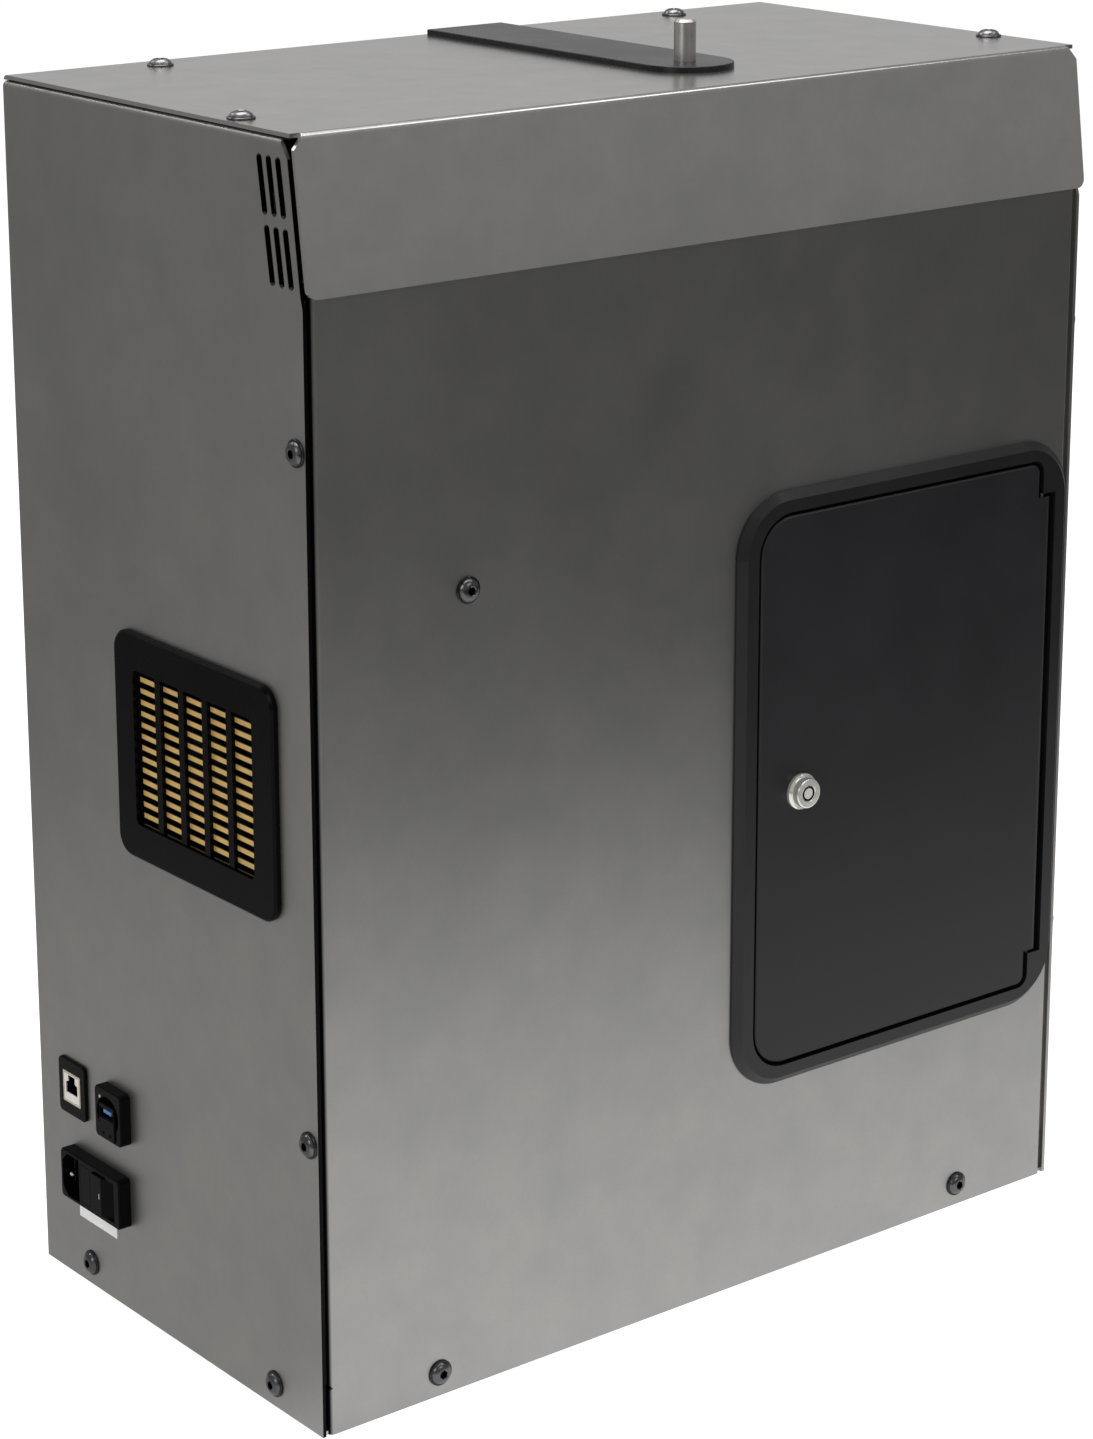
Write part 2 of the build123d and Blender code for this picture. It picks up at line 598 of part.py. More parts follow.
def top_hood():
    """Top, sloping visor and rear flange in one folded sheet."""
    points = [
        (BACK, HEIGHT - REAR_FLANGE), (BACK, HEIGHT),
        (FRONT + VISOR_SET_BACK, HEIGHT), (FRONT - VISOR_PROUD, VISOR_BOTTOM),
    ]
    half = WIDTH / 2 - HOOD_INSET
    hood = folded_sheet(points, SHEET, BEND, -half, half)
    for side in (-1, 1):
        edge = side * (INNER_X - HOOD_INSET)
        outside = side * WIDTH
        low, high = sorted((edge, outside))
        hood -= block((low, REAR_INNER, 0), (high, BACK + 1, SIDE_TOP + HOOD_LIP / 2))
        relief = Pos(side * half, FRONT + VISOR_SET_BACK, HEIGHT) * Rot(45, 0, 0)
        hood -= relief * Box(2 * CORNER_RELIEF, CORNER_RELIEF, CORNER_RELIEF)
        corner = Plane((side * half, FRONT, VISOR_BOTTOM), x_dir=(1, 0, 0), z_dir=(0, -1, 0))
        hood -= corner * round_off(VISOR_CORNER, side)
    for plane in top_front_planes() + top_rear_planes():
        hood -= screw_hole(plane)
    return hood - Pos(STRAP_X, TOP_PIN_Y, HEIGHT) * Cylinder(TOP_PIN_SHANK + HOLE_CLEARANCE, 10)


def round_off(radius, side):
    """A cutter that rounds a sheet's lower corner at the origin of an upright plane."""
    square = Pos(-side * radius / 2, radius / 2) * Rectangle(radius, radius)
    waste = square - Pos(-side * radius, radius) * Circle(radius)
    return extrude(waste, 30, both=True)


def front_panel():
    """Front sheet with folds back at its sides and top, and the door's cut-out."""
    half = WIDTH / 2 - FRONT_GAP
    face = FilletPolyline(
        (-half, FRONT + FRONT_RETURN), (-half, FRONT), (half, FRONT), (half, FRONT + FRONT_RETURN),
        radius=BEND,
    )
    channel = make_face(Wire(face.edges()).offset_2d(SHEET, side=Side.LEFT))
    panel = extrude(channel, FRONT_TOP)
    panel -= block((-half - 1, FRONT_INNER, -1), (half + 1, 0, RELIEF_HEIGHT))
    for side in (-1, 1):
        notch = Pos(side * half, FRONT + SHEET, RELIEF_HEIGHT) * Rot(0, 45, 0)
        panel -= notch * Box(RELIEF_NOTCH, 3 * SHEET, RELIEF_NOTCH)
    inner = half - 2 * BEND
    lip = block((-inner, FRONT + SHEET, FRONT_TOP - SHEET), (inner, FRONT + FRONT_RETURN, FRONT_TOP))
    panel += lip
    panel -= upright(collar_outline(CUTOUT_CLEARANCE), FRONT - SHEET, FRONT + FRONT_RETURN / 2)
    for plane in front_pan_planes() + [bracket_plane()]:
        panel -= screw_hole(plane)
    for plane in left_screw_planes()[:2] + right_screw_planes()[:2]:
        panel -= screw_hole(plane)
    return panel


def rear_panel():
    half = INNER_X - HOOD_INSET
    panel = block((-half, REAR_INNER, FRAME_SHEET), (half, REAR_PANEL_BACK, POST_TOP - BEND))
    for plane in rear_planes():
        panel -= screw_hole(plane)
    return panel


def base_pan():
    """Tray under the cabinet, with a flange along the middle of each side."""
    low = (-INNER_X, FRONT_INNER, 0)
    pan = block(low, (INNER_X, REAR_INNER, FRAME_SHEET))
    side_low = FRONT_INNER + POST_SET_BACK + POST_LEG + FRAME_SHEET
    side_high = REAR_INNER - POST_LEG - FRAME_SHEET
    end = INNER_X - POST_LEG - FRAME_SHEET
    for side in (-1, 1):
        near, far = sorted((side * INNER_X, side * (INNER_X - FRAME_SHEET)))
        pan += block((near, side_low, 0), (far, side_high, PAN_FLANGE))
    pan += block((-end, FRONT_INNER, 0), (end, FRONT_INNER + FRAME_SHEET, PAN_FLANGE))
    pan += block((-end, REAR_INNER - FRAME_SHEET, 0), (end, REAR_INNER, PAN_FLANGE))
    for plane in left_screw_planes()[2:] + right_screw_planes()[2:]:
        pan -= screw_hole(plane)
    for plane in front_pan_planes() + rear_planes()[:2]:
        pan -= screw_hole(plane)
    return pan


def feet():
    """Four rubber feet, each with a tapered side."""
    foot = Cone(FOOT_RADIUS - FOOT_TAPER, FOOT_RADIUS, FOOT_HEIGHT, align=DOWN)
    x = WIDTH / 2 - FOOT_INSET
    y = DEPTH / 2 - FOOT_INSET
    return [Pos(sx * x, sy * y, 0) * foot for sx in (-1, 1) for sy in (-1, 1)]


# ================================================================ inner frame
def corner_post(side, front):
    """An angle post in one corner, standing on the base pan."""
    near = side * INNER_X
    inner = side * (INNER_X - FRAME_SHEET)
    reach = side * (INNER_X - POST_LEG)
    start = FRONT_INNER + POST_SET_BACK if front else REAR_INNER - POST_LEG
    end = start + POST_LEG
    top = FRONT_POST_TOP if front else POST_TOP
    x0, x1 = sorted((near, inner))
    post = block((x0, start, FRAME_SHEET), (x1, end, top))
    x0, x1 = sorted((near, reach))
    post += block((x0, end - FRAME_SHEET, FRAME_SHEET), (x1, end, top))
    if front:
        post -= visor_space()
        planes = (left_screw_planes() if side < 0 else right_screw_planes())[:2]
    else:
        planes = rear_planes()[2:4]
    for plane in planes:
        post -= screw_hole(plane)
    return post


def rear_rail():
    """Angle rail across the back, under the hood."""
    end = INNER_X - POST_LEG
    high = (end, REAR_INNER, HOOD_UNDERSIDE)
    rail = block((-end, REAR_INNER - FRAME_SHEET, HOOD_UNDERSIDE - RAIL_DROP), high)
    rail += block((-end, REAR_INNER - RAIL_LEG, HOOD_UNDERSIDE - FRAME_SHEET), high)
    for plane in top_rear_planes() + rear_planes()[4:]:
        rail -= screw_hole(plane)
    return rail


def equipment_deck():
    """Shelf that carries the vacuum system and the bay, held between the posts."""
    half = INNER_X - FRAME_SHEET
    front = FRONT_INNER + POST_SET_BACK + POST_LEG
    back = REAR_INNER - FRAME_SHEET
    deck = block((-half, front, DECK_TOP - FRAME_SHEET), (half, back, DECK_TOP))
    for y in (front, back - FRAME_SHEET):
        deck += block((-half, y, DECK_TOP - DECK_EDGE), (half, y + FRAME_SHEET, DECK_TOP))
    turbo = Pos(TUBE_X, TUBE_Y, DECK_TOP) * Cylinder(TURBO_RADIUS + HOLE_CLEARANCE, 20)
    return deck - turbo


# ================================================================ air inlet
def grille_frame():
    """Raised surround with upright bars, a collar through the panel and a pocket for the screen."""
    plane = left_face(*GRILLE_PLACE)
    surround = plate(plane, *GRILLE_SIZE, GRILLE_PROUD, GRILLE_CORNER)
    surround = chamfer(surround.faces().sort_by(Axis.X)[0].edges(), GRILLE_BEVEL)
    collar = [size + 2 * (GRILLE_COLLAR - CUTOUT_CLEARANCE / 2) for size in GRILLE_OPENING]
    surround += plate(plane, *collar, -SHEET, GRILLE_OPENING_CORNER)
    through = -(GRILLE_PROUD + SHEET + 2)
    surround -= plate(plane.offset(GRILLE_PROUD + 1), *GRILLE_OPENING, through, GRILLE_OPENING_CORNER)
    pocket = [size + 2 * (SCREEN_LAP + SCREEN_PLAY) for size in GRILLE_OPENING]
    surround -= plate(screen_plane(), *pocket, through, GRILLE_OPENING_CORNER)
    pitch = GRILLE_OPENING[0] / (GRILLE_BARS + 1)
    bar_plane = plane.offset(GRILLE_PROUD - BAR_SINK - BAR_DEPTH)
    for index in range(GRILLE_BARS):
        place = bar_plane * Pos((index - (GRILLE_BARS - 1) / 2) * pitch, 0, 0)
        bar = Box(BAR_WIDTH, GRILLE_OPENING[1], BAR_DEPTH, align=UP)
        surround += place * bar
    return surround


def screen_plane():
    """The bars' back, which the screen lies against."""
    return left_face(*GRILLE_PLACE, proud=GRILLE_PROUD - BAR_SINK - BAR_DEPTH)


def vent_screen():
    """Thin brass sheet with rows of slots, in the surround's pocket behind the bars."""
    size = [side + 2 * SCREEN_LAP for side in GRILLE_OPENING]
    sheet = plate(screen_plane(), *size, -SCREEN_THICK, GRILLE_OPENING_CORNER)
    columns = GRILLE_BARS + 1
    pitch = GRILLE_OPENING[0] / columns
    slot = Rectangle(pitch - SCREEN_WEB, SCREEN_SLOT)
    for place in GridLocations(pitch, SCREEN_ROW_PITCH, columns, SCREEN_ROWS):
        sheet -= extrude(screen_plane() * place * slot, -2 * SCREEN_THICK)
    return sheet


def fan_plane():
    return left_face(*GRILLE_PLACE, proud=-SHEET)


def fan_frame():
    """Square fan housing with a round bore, and the motor carrier on its struts."""
    plane = fan_plane()
    hollow = Cylinder(FAN_BORE, 3 * FAN_DEPTH)
    square = plate(plane, FAN_SIZE, FAN_SIZE, -FAN_DEPTH, FAN_WALL) - plane * hollow
    middle = Pos(0, 0, -FAN_DEPTH / 2)
    waist = plane * middle * (
        Cylinder(FAN_SIZE, FAN_DEPTH - 2 * FAN_WALL) - Cylinder(FAN_BORE + FAN_WALL, 2 * FAN_DEPTH)
    )
    square -= waist
    rear = Pos(0, 0, -FAN_DEPTH)
    carrier = Cylinder(FAN_MOTOR, FAN_WALL, align=UP)
    square += plane * rear * carrier
    for angle in range(0, 360, 90):
        arm = Box(FAN_BORE + FAN_WALL / 2, FAN_STRUT, FAN_WALL, align=(Align.MIN, Align.CENTER, Align.MIN))
        square += plane * rear * Rot(0, 0, angle + 45) * arm
    shaft = Cylinder(FAN_SHAFT, FAN_DEPTH - 2 * FAN_WALL, align=UP)
    return square + plane * rear * shaft


def fan_rotor():
    """Hub with pitched blades, turning on the motor's shaft."""
    plane = fan_plane()
    depth = FAN_DEPTH - 2 * FAN_WALL - 1
    start = Pos(0, 0, -FAN_DEPTH + FAN_WALL + RUNNING_CLEARANCE * 6)
    hub = Cylinder(FAN_HUB, depth, align=UP)
    hub -= Cylinder(FAN_HUB - FAN_WALL, 2 * (depth - FAN_WALL))
    boss = Cylinder(FAN_SHAFT + FAN_WALL, depth, align=UP)
    rotor = hub + boss - Cylinder(FAN_SHAFT + RUNNING_CLEARANCE, 4 * FAN_DEPTH)
    tip = FAN_BORE - FAN_TIP_GAP
    chord = (depth - 2) / cos(radians(FAN_BLADE_PITCH))
    blade = Box(tip, FAN_BLADE_THICK, chord, align=(Align.MIN, Align.CENTER, Align.CENTER))
    blade = Rot(FAN_BLADE_PITCH, 0, 0) * blade
    sweep = Pos(0, 0, depth / 2) * (Cylinder(tip, depth - 1) - Cylinder(FAN_HUB - FAN_WALL / 2, 2 * depth))
    for index in range(FAN_BLADES):
        rotor += Rot(0, 0, index * 360 / FAN_BLADES) * (Pos(0, 0, depth / 2) * blade) & sweep
    return plane * start * rotor


# ================================================================ connectors
def ethernet_flange():
    plane = left_face(*ETHERNET_PLACE)
    flange = plate(plane, *ETHERNET_FLANGE, ETHERNET_PROUD, CONNECTOR_CORNER)
    flange = chamfer(flange.faces().sort_by(Axis.X)[0].edges(), 0.4)
    return flange - plate(plane.offset(-1), *JACK_SIZE, 10)


def ethernet_jack():
    """Shielded jack body with a stepped socket and its latch slot."""
    plane = left_face(*ETHERNET_PLACE, proud=ETHERNET_PROUD - 0.3)
    jack = plate(plane, *JACK_SIZE, -JACK_DEPTH)
    width, height = JACK_SOCKET
    jack -= plate(plane * Pos(0, 1.0, 0), width, height, -JACK_DEPTH + 4)
    jack -= plate(plane * Pos(0, 1.0 + height / 2 + 1.4, 0), width / 2, 2.8, -JACK_DEPTH + 4)
    return jack


def usb_housing():
    plane = left_face(*USB_PLACE)
    housing = plate(plane, *USB_FLANGE, USB_PROUD, CONNECTOR_CORNER)
    housing = chamfer(housing.faces().sort_by(Axis.X)[0].edges(), 0.6)
    housing += plate(plane, *USB_WELL, -CONNECTOR_DEPTH)
    housing -= extrude(plane.offset(USB_PROUD) * Circle(USB_RING), -USB_RING_DEPTH)
    face = plane.offset(USB_PROUD + USB_BLOCK_PROUD)
    raised = plate(face * Pos(0, -USB_BLOCK_DROP, 0), *USB_BLOCK, -USB_RING_DEPTH - USB_BLOCK_PROUD, 1.5)
    housing += chamfer(raised.faces().sort_by(Axis.X)[0].edges(), 0.4)
    housing -= plate(face * Pos(0, USB_PORT_RISE, 0), *USB_PORT, -USB_PROUD - CONNECTOR_DEPTH + 4)
    for x in (-3.2, 3.2):
        housing -= face * Pos(x, -USB_FLANGE[1] / 2 + 4.2, 0) * Cylinder(0.9, 3)
    return housing


def usb_port():
    """The port's metal shell, with the contact tongue inside it."""
    face = left_face(*USB_PLACE, proud=USB_PROUD + USB_BLOCK_PROUD - 0.4) * Pos(0, USB_PORT_RISE, 0)
    depth = CONNECTOR_DEPTH - 2
    shell = plate(face, *USB_PORT, -depth)
    shell -= plate(face, USB_PORT[0] - 0.8, USB_PORT[1] - 0.8, -depth + 1)
    tongue = plate(face * Pos(0, 0.9, 0) * Pos(0, 0, -1.2), USB_PORT[0] - 2.4, 1.9, -depth + 1.2)
    return shell + tongue


def module_plane(offset=0.0):
    """The inlet module's bezel face, at a distance behind the module's centre."""
    y, z = INLET_PLACE
    return left_face(y + offset, z, proud=INLET_PROUD)


def socket_outline(grow=0.0):
    """The mains socket: a rectangle with its two rear corners cut off."""
    half_w = SOCKET_SIZE[0] / 2 + grow
    half_h = SOCKET_SIZE[1] / 2 + grow
    cut = SOCKET_CHAMFER
    points = [
        (half_w, -half_h), (half_w, half_h), (cut - half_w, half_h), (-half_w, half_h - cut),
        (-half_w, cut - half_h), (cut - half_w, -half_h),
    ]
    return make_face(Polyline(*points, close=True))


def inlet_body():
    """Mains socket, fuse drawer chute and rocker well in one moulding."""
    face = module_plane()
    body = plate(face, *INLET_FACE, -INLET_PROUD, INLET_CORNER)
    body = chamfer(body.faces().sort_by(Axis.X)[0].edges(), 0.7)
    body += plate(face, *INLET_BODY, -INLET_DEPTH)
    body -= extrude(module_plane(SOCKET_OFFSET) * socket_outline(), -SOCKET_DEPTH)
    drawer = [side + 2 * DRAWER_GAP for side in DRAWER_SIZE]
    body -= plate(module_plane(DRAWER_OFFSET), *drawer, -DRAWER_LENGTH - DRAWER_GAP)
    radius = rocker_radius()
    well = Cylinder(radius + ROCKER_GAP, ROCKER_HEIGHT + 2 * ROCKER_GAP)
    mouth = 2 * ((radius ** 2 - ROCKER_PIVOT_DEPTH ** 2) ** 0.5 + ROCKER_GAP)
    body -= Pos(ROCKER_X, ROCKER_Y, INLET_PLACE[1]) * well
    body -= plate(module_plane(ROCKER_OFFSET), mouth, ROCKER_HEIGHT + 2 * ROCKER_GAP, -ROCKER_PIVOT_DEPTH)
    trunnion_bore = ROCKER_HEIGHT + 2 * TRUNNION_LENGTH + ROCKER_GAP
    trunnions = Cylinder(ROCKER_TRUNNION + RUNNING_CLEARANCE, trunnion_bore)
    return body - Pos(ROCKER_X, ROCKER_Y, INLET_PLACE[1]) * trunnions


def rocker_radius():
    """Radius that the rocker's ends sweep about its pivot."""
    return ((ROCKER_PIVOT_DEPTH + ROCKER_PROUD) ** 2 + ROCKER_HALF ** 2) ** 0.5


def switch_rocker():
    """Rocker with two flats that meet over its pivot, the rear one level at rest."""
    radius = rocker_radius()
    top = ROCKER_PIVOT_DEPTH + ROCKER_PROUD
    drop = ROCKER_HALF * 2 * tan(radians(ROCKER_ANGLE))
    roof = Polyline(
        (-2 * radius, top), (0, top), (2 * ROCKER_HALF, top - drop),
        (2 * ROCKER_HALF, -ROCKER_BASE), (-2 * radius, -ROCKER_BASE), close=True,
    )
    section = Circle(radius) & make_face(roof)
    plane = Plane((ROCKER_X, ROCKER_Y, INLET_PLACE[1]), x_dir=(0, -1, 0), z_dir=(0, 0, -1))
    rocker = extrude(plane * section, ROCKER_HEIGHT / 2, both=True)
    trunnions = Cylinder(ROCKER_TRUNNION, ROCKER_HEIGHT + 2 * TRUNNION_LENGTH)
    return rocker + Pos(ROCKER_X, ROCKER_Y, INLET_PLACE[1]) * trunnions


def inlet_pins():
    """Line, neutral and earth blades, standing on the socket's floor."""
    plane = module_plane(SOCKET_OFFSET).offset(-SOCKET_DEPTH)
    width, thick = PIN_SIZE
    blade = Box(width, thick, PIN_LENGTH, align=UP)
    places = [(PIN_ROW, PIN_SPREAD), (PIN_ROW, -PIN_SPREAD), (-PIN_ROW, 0)]
    return [plane * Pos(x, y, 0) * blade for x, y in places]


def fuse_drawer():
    """Sliding drawer with two open cradles for the fuses."""
    plane = module_plane(DRAWER_OFFSET)
    drawer = plate(plane, *DRAWER_SIZE, -DRAWER_LENGTH)
    for side in (-1, 1):
        cradle = plane * Pos(0, side * FUSE_SPREAD, -2.5) * fuse_space(FUSE_RADIUS + RUNNING_CLEARANCE)
        mouth = plane * Pos(DRAWER_SIZE[0] / 4, side * FUSE_SPREAD, -2.5) * Box(
            DRAWER_SIZE[0] / 2 + 1, 2 * FUSE_RADIUS, FUSE_LENGTH, align=DOWN
        )
        drawer -= [cradle, mouth]
    return drawer


def fuse_space(radius):
    return Cylinder(radius, FUSE_LENGTH, align=DOWN)


def fuses():
    plane = module_plane(DRAWER_OFFSET)
    return [plane * Pos(0, side * FUSE_SPREAD, -2.5) * fuse_space(FUSE_RADIUS) for side in (-1, 1)]


# ================================================================ access door
def leaf_outline(grow=0.0):
    """The leaf's main outline in X and Z: large corners at the left, small ones at the hinge."""
    low = (LEAF_LEFT - grow, DOOR_Z - LEAF_HEIGHT / 2 - grow)
    high = (LEAF_RIGHT + grow, DOOR_Z + LEAF_HEIGHT / 2 + grow)
    width, height = high[0] - low[0], high[1] - low[1]
    sheet = Pos((low[0] + high[0]) / 2, DOOR_Z) * Rectangle(width, height)
    sheet = fillet(sheet.vertices().group_by(Axis.X)[0], LEAF_CORNER + grow)
    return fillet(sheet.vertices().group_by(Axis.X)[-1], max(LEAF_HINGE_CORNER + grow, 0.5))


def strip_outline(grow=0.0):
    """The hinge strip beside the leaf, shorter than the leaf."""
    width = HINGE_STRIP + 2 * LEAF_HINGE_CORNER
    x = LEAF_RIGHT + HINGE_STRIP - width / 2
    return Pos(x + grow / 2, DOOR_Z) * Rectangle(width + grow, HINGE_HEIGHT + 2 * grow)


def collar_outline(grow=0.0):
    """The collar's outer outline, tall enough beside the leaf to hold the hinge pins."""
    wall = DOOR_GAP + COLLAR_WALL + grow
    tall = HINGE_HEIGHT + 2 * wall + HINGE_PIN_LENGTH
    width = HINGE_STRIP + 2 * LEAF_HINGE_CORNER + wall
    x = LEAF_RIGHT + HINGE_STRIP + wall - width / 2
    return leaf_outline(wall) + Pos(x, DOOR_Z) * Rectangle(width, tall)


def door_opening():
    """The leaf and its hinge strip with a gap round them, wider where the leaf turns out."""
    turning = Pos(HINGE_GAP - DOOR_GAP, 0) * leaf_outline(DOOR_GAP)
    return leaf_outline(DOOR_GAP) + turning + strip_outline(DOOR_GAP)


def upright(sketch, y_front, y_back):
    """Extrude a sketch drawn in X and Z from one depth to another."""
    return Pos(0, y_back, 0) * extrude(Plane.XZ * sketch, y_back - y_front)


def door_frame():
    """Bevelled flange on the panel, collar through it, stop lip and hinge sockets."""
    x, z = DOOR_PLACE
    flange = plate(front_face(x, z), *DOOR_FRAME, DOOR_FRAME_PROUD, DOOR_FRAME_CORNER)
    rim = flange.faces().sort_by(Axis.Y)[0].edges()
    flange = chamfer(rim, DOOR_FRAME_PROUD - 1.0, DOOR_FRAME_BEVEL)
    frame = flange + upright(collar_outline(), FRONT, STOP_BACK)
    frame -= upright(door_opening(), LEAF_FACE - 1, STOP_FACE)
    frame -= upright(leaf_outline(-STOP_OVERLAP), STOP_FACE - 1, STOP_BACK + 1)
    return frame - hinge_bores(HINGE_PIN)


def hinge_bores(radius):
    """Cylinders at the two ends of the hinge strip, centred on its ends."""
    half = HINGE_HEIGHT / 2
    middles = [DOOR_Z + side * (half + DOOR_GAP / 2) for side in (-1, 1)]
    length = HINGE_PIN_LENGTH
    return [Pos(HINGE_X, HINGE_Y, z) * Cylinder(radius, length) for z in middles]


def access_door():
    """Moulded leaf, hollow behind, with ribs, a lock boss and a round hinge edge."""
    shell = upright(leaf_outline(), LEAF_FACE, LEAF_BACK)
    shell = chamfer(shell.faces().sort_by(Axis.Y)[0].edges(), LEAF_EDGE)
    hollow = upright(leaf_outline(-LEAF_WALL), LEAF_FACE + LEAF_WALL, LEAF_BACK + 1)
    shell -= hollow
    rib_low, rib_high = DOOR_Z - LEAF_HEIGHT / 2, DOOR_Z + LEAF_HEIGHT / 2
    for share in (0.38, 0.69):
        x = LEAF_LEFT + share * LEAF_WIDTH
        shell += block((x, LEAF_FACE + 1, rib_low + 1), (x + LEAF_WALL, LEAF_BACK - 2, rib_high - 1))
    for share in (0.25, 0.75):
        z = rib_low + share * LEAF_HEIGHT
        shell += block((LEAF_LEFT + 1, LEAF_FACE + 1, z), (LEAF_RIGHT - 1, LEAF_BACK - 2, z + LEAF_WALL))
    strip_low, strip_high = DOOR_Z - HINGE_HEIGHT / 2, DOOR_Z + HINGE_HEIGHT / 2
    shell += block((LEAF_RIGHT - LEAF_WALL, LEAF_FACE, strip_low), (HINGE_X, LEAF_BACK, strip_high))
    shell += Pos(HINGE_X, HINGE_Y, DOOR_Z) * Cylinder(KNUCKLE, HINGE_HEIGHT)
    boss = front_face(LOCK_X, DOOR_Z, LEAF_FACE) * Cylinder(
        LOCK_BARREL + 4, LEAF_DEPTH - 1, align=DOWN
    )
    shell += Pos(0, 1, 0) * boss
    shell -= front_face(LOCK_X, DOOR_Z, LEAF_FACE) * Cylinder(LOCK_BARREL + 0.1, 4 * LEAF_DEPTH)
    return shell - hinge_bores(HINGE_PIN + RUNNING_CLEARANCE)


# ================================================================ cam lock
def lock_axis(y=LEAF_FACE):
    return front_face(LOCK_X, DOOR_Z, y)


def lock_body():
    """Flange, tapered nose and threaded barrel, bored for the plug."""
    plane = lock_axis()
    flange = Cylinder(LOCK_FLANGE_RADIUS, LOCK_FLANGE, align=UP)
    flange = chamfer(flange.edges().group_by(Axis.Z)[-1], 0.8)
    nose = Cone(LOCK_FLANGE_RADIUS - 1.2, LOCK_NOSE_RADIUS, LOCK_NOSE, align=UP)
    nose = fillet(nose.edges().group_by(Axis.Z)[-1], 0.8)
    barrel = Cylinder(LOCK_BARREL, LOCK_BARREL_LENGTH, align=DOWN)
    bore = Cylinder(LOCK_PLUG + RUNNING_CLEARANCE, 4 * LOCK_BARREL_LENGTH)
    return plane * (flange + nose + barrel - bore)


def lock_plug():
    """Round plug with a ring keyway and its centre post, driving the cam."""
    plane = lock_axis(LEAF_FACE - LOCK_NOSE + 0.6)
    length = CAM_FRONT + CAM_THICK - (LEAF_FACE - LOCK_NOSE + 0.6) + 1.0
    plug = Cylinder(LOCK_PLUG, length, align=DOWN)
    ring = Cylinder(KEYWAY_OUTER, KEYWAY_DEPTH, align=DOWN) - Cylinder(KEYWAY_INNER, KEYWAY_DEPTH, align=DOWN)
    plug -= ring
    plug -= Pos(0, KEYWAY_OUTER - 0.2, 0) * Box(1.6, 1.6, KEYWAY_DEPTH, align=DOWN)
    return plane * plug


def lock_cam():
    """Flat cam behind the barrel, pointing up when unlocked."""
    straight = CAM_REACH - CAM_WIDTH / 2
    arm = Pos(0, straight / 2) * Rectangle(CAM_WIDTH, straight)
    arm += Pos(0, straight) * Circle(CAM_WIDTH / 2)
    arm += Circle(CAM_HUB)
    arm -= Circle(LOCK_PLUG)
    return extrude(lock_axis(CAM_FRONT) * arm, -CAM_THICK)


def lock_nut():
    """Hexagon nut on the barrel, tight against the leaf's boss."""
    plane = lock_axis(LEAF_BACK)
    nut = extrude(RegularPolygon(LOCK_NUT_RADIUS, 6), -LOCK_NUT_THICK)
    return plane * (nut - Cylinder(LOCK_BARREL + 0.05, 4 * LOCK_NUT_THICK))


# ================================================================ bay behind the door
def bay_liner():
    """Folded box that closes the bay behind the door's frame."""
    (x0, z0), (x1, z1) = BAY_LOW, BAY_HIGH
    wall = BAY_WALL
    outer = block((x0 - wall, STOP_BACK, z0 - wall), (x1 + wall, STOP_BACK + BAY_DEPTH + wall, z1 + wall))
    liner = outer - block((x0, STOP_BACK - 1, z0), (x1, STOP_BACK + BAY_DEPTH, z1))
    return liner - probe_axis() * Cylinder(PORT_RADIUS - PORT_STEP, 4 * PORT_RADIUS)


def probe_axis():
    """The sample probe's line, along X through the chamber's middle."""
    return Plane((BAY_LOW[0], TUBE_Y, DECK_TOP + PROBE_HEIGHT), x_dir=(0, 1, 0), z_dir=(1, 0, 0))


def load_port():
    """Seal housing between the chamber's side and the bay's left wall."""
    start = TUBE_X + CHAMBER_SIZE[0] / 2
    inner = BAY_LOW[0]
    plane = Plane((start, TUBE_Y, DECK_TOP + PROBE_HEIGHT), x_dir=(0, 1, 0), z_dir=(1, 0, 0))
    length = inner - start
    body = Cylinder(PORT_RADIUS, PORT_FLANGE, align=UP)
    body += Cylinder(PORT_RADIUS - PORT_STEP - PORT_NECK_GAP, length + PORT_FLANGE, align=UP)
    body += Pos(0, 0, length) * Cylinder(PORT_RADIUS, PORT_FLANGE, align=UP)
    collar_end = Pos(0, 0, length - BAY_WALL - PORT_FLANGE)
    body += collar_end * Cylinder(PORT_RADIUS, PORT_FLANGE, align=UP)
    return plane * (body - Cylinder(PROBE_RADIUS + RUNNING_CLEARANCE, 4 * length))


def sample_probe():
    """Rod that carries the sample from the bay into the chamber."""
    plane = probe_axis().offset(KNOB_X - BAY_LOW[0])
    rod = Cylinder(PROBE_RADIUS, PROBE_LENGTH, align=DOWN)
    rod = chamfer(rod.edges().group_by(Axis.Z)[0], 1.5)
    return plane * rod


def probe_knob():
    """Turned grip on the probe's outer end."""
    plane = probe_axis().offset(KNOB_X - BAY_LOW[0])
    knob = Cylinder(KNOB_RADIUS, KNOB_LENGTH, align=UP)
    knob = fillet(knob.edges(), 2.0)
    groove = Pos(0, 0, KNOB_LENGTH / 2) * (Cylinder(KNOB_RADIUS + 1, 5) - Cylinder(KNOB_RADIUS - 2.5, 6))
    return plane * (knob - groove)


# ================================================================ strap and locating pin
def strap_outline():
    back = BACK - STRAP_BACK
    half = STRAP_WIDTH / 2
    straight = block((STRAP_X - half, TOP_PIN_Y, HEIGHT), (STRAP_X + half, back, HEIGHT + STRAP_THICK))
    tip = Pos(STRAP_X, TOP_PIN_Y, HEIGHT + STRAP_THICK / 2) * Cylinder(STRAP_WIDTH / 2, STRAP_THICK)
    return straight + tip


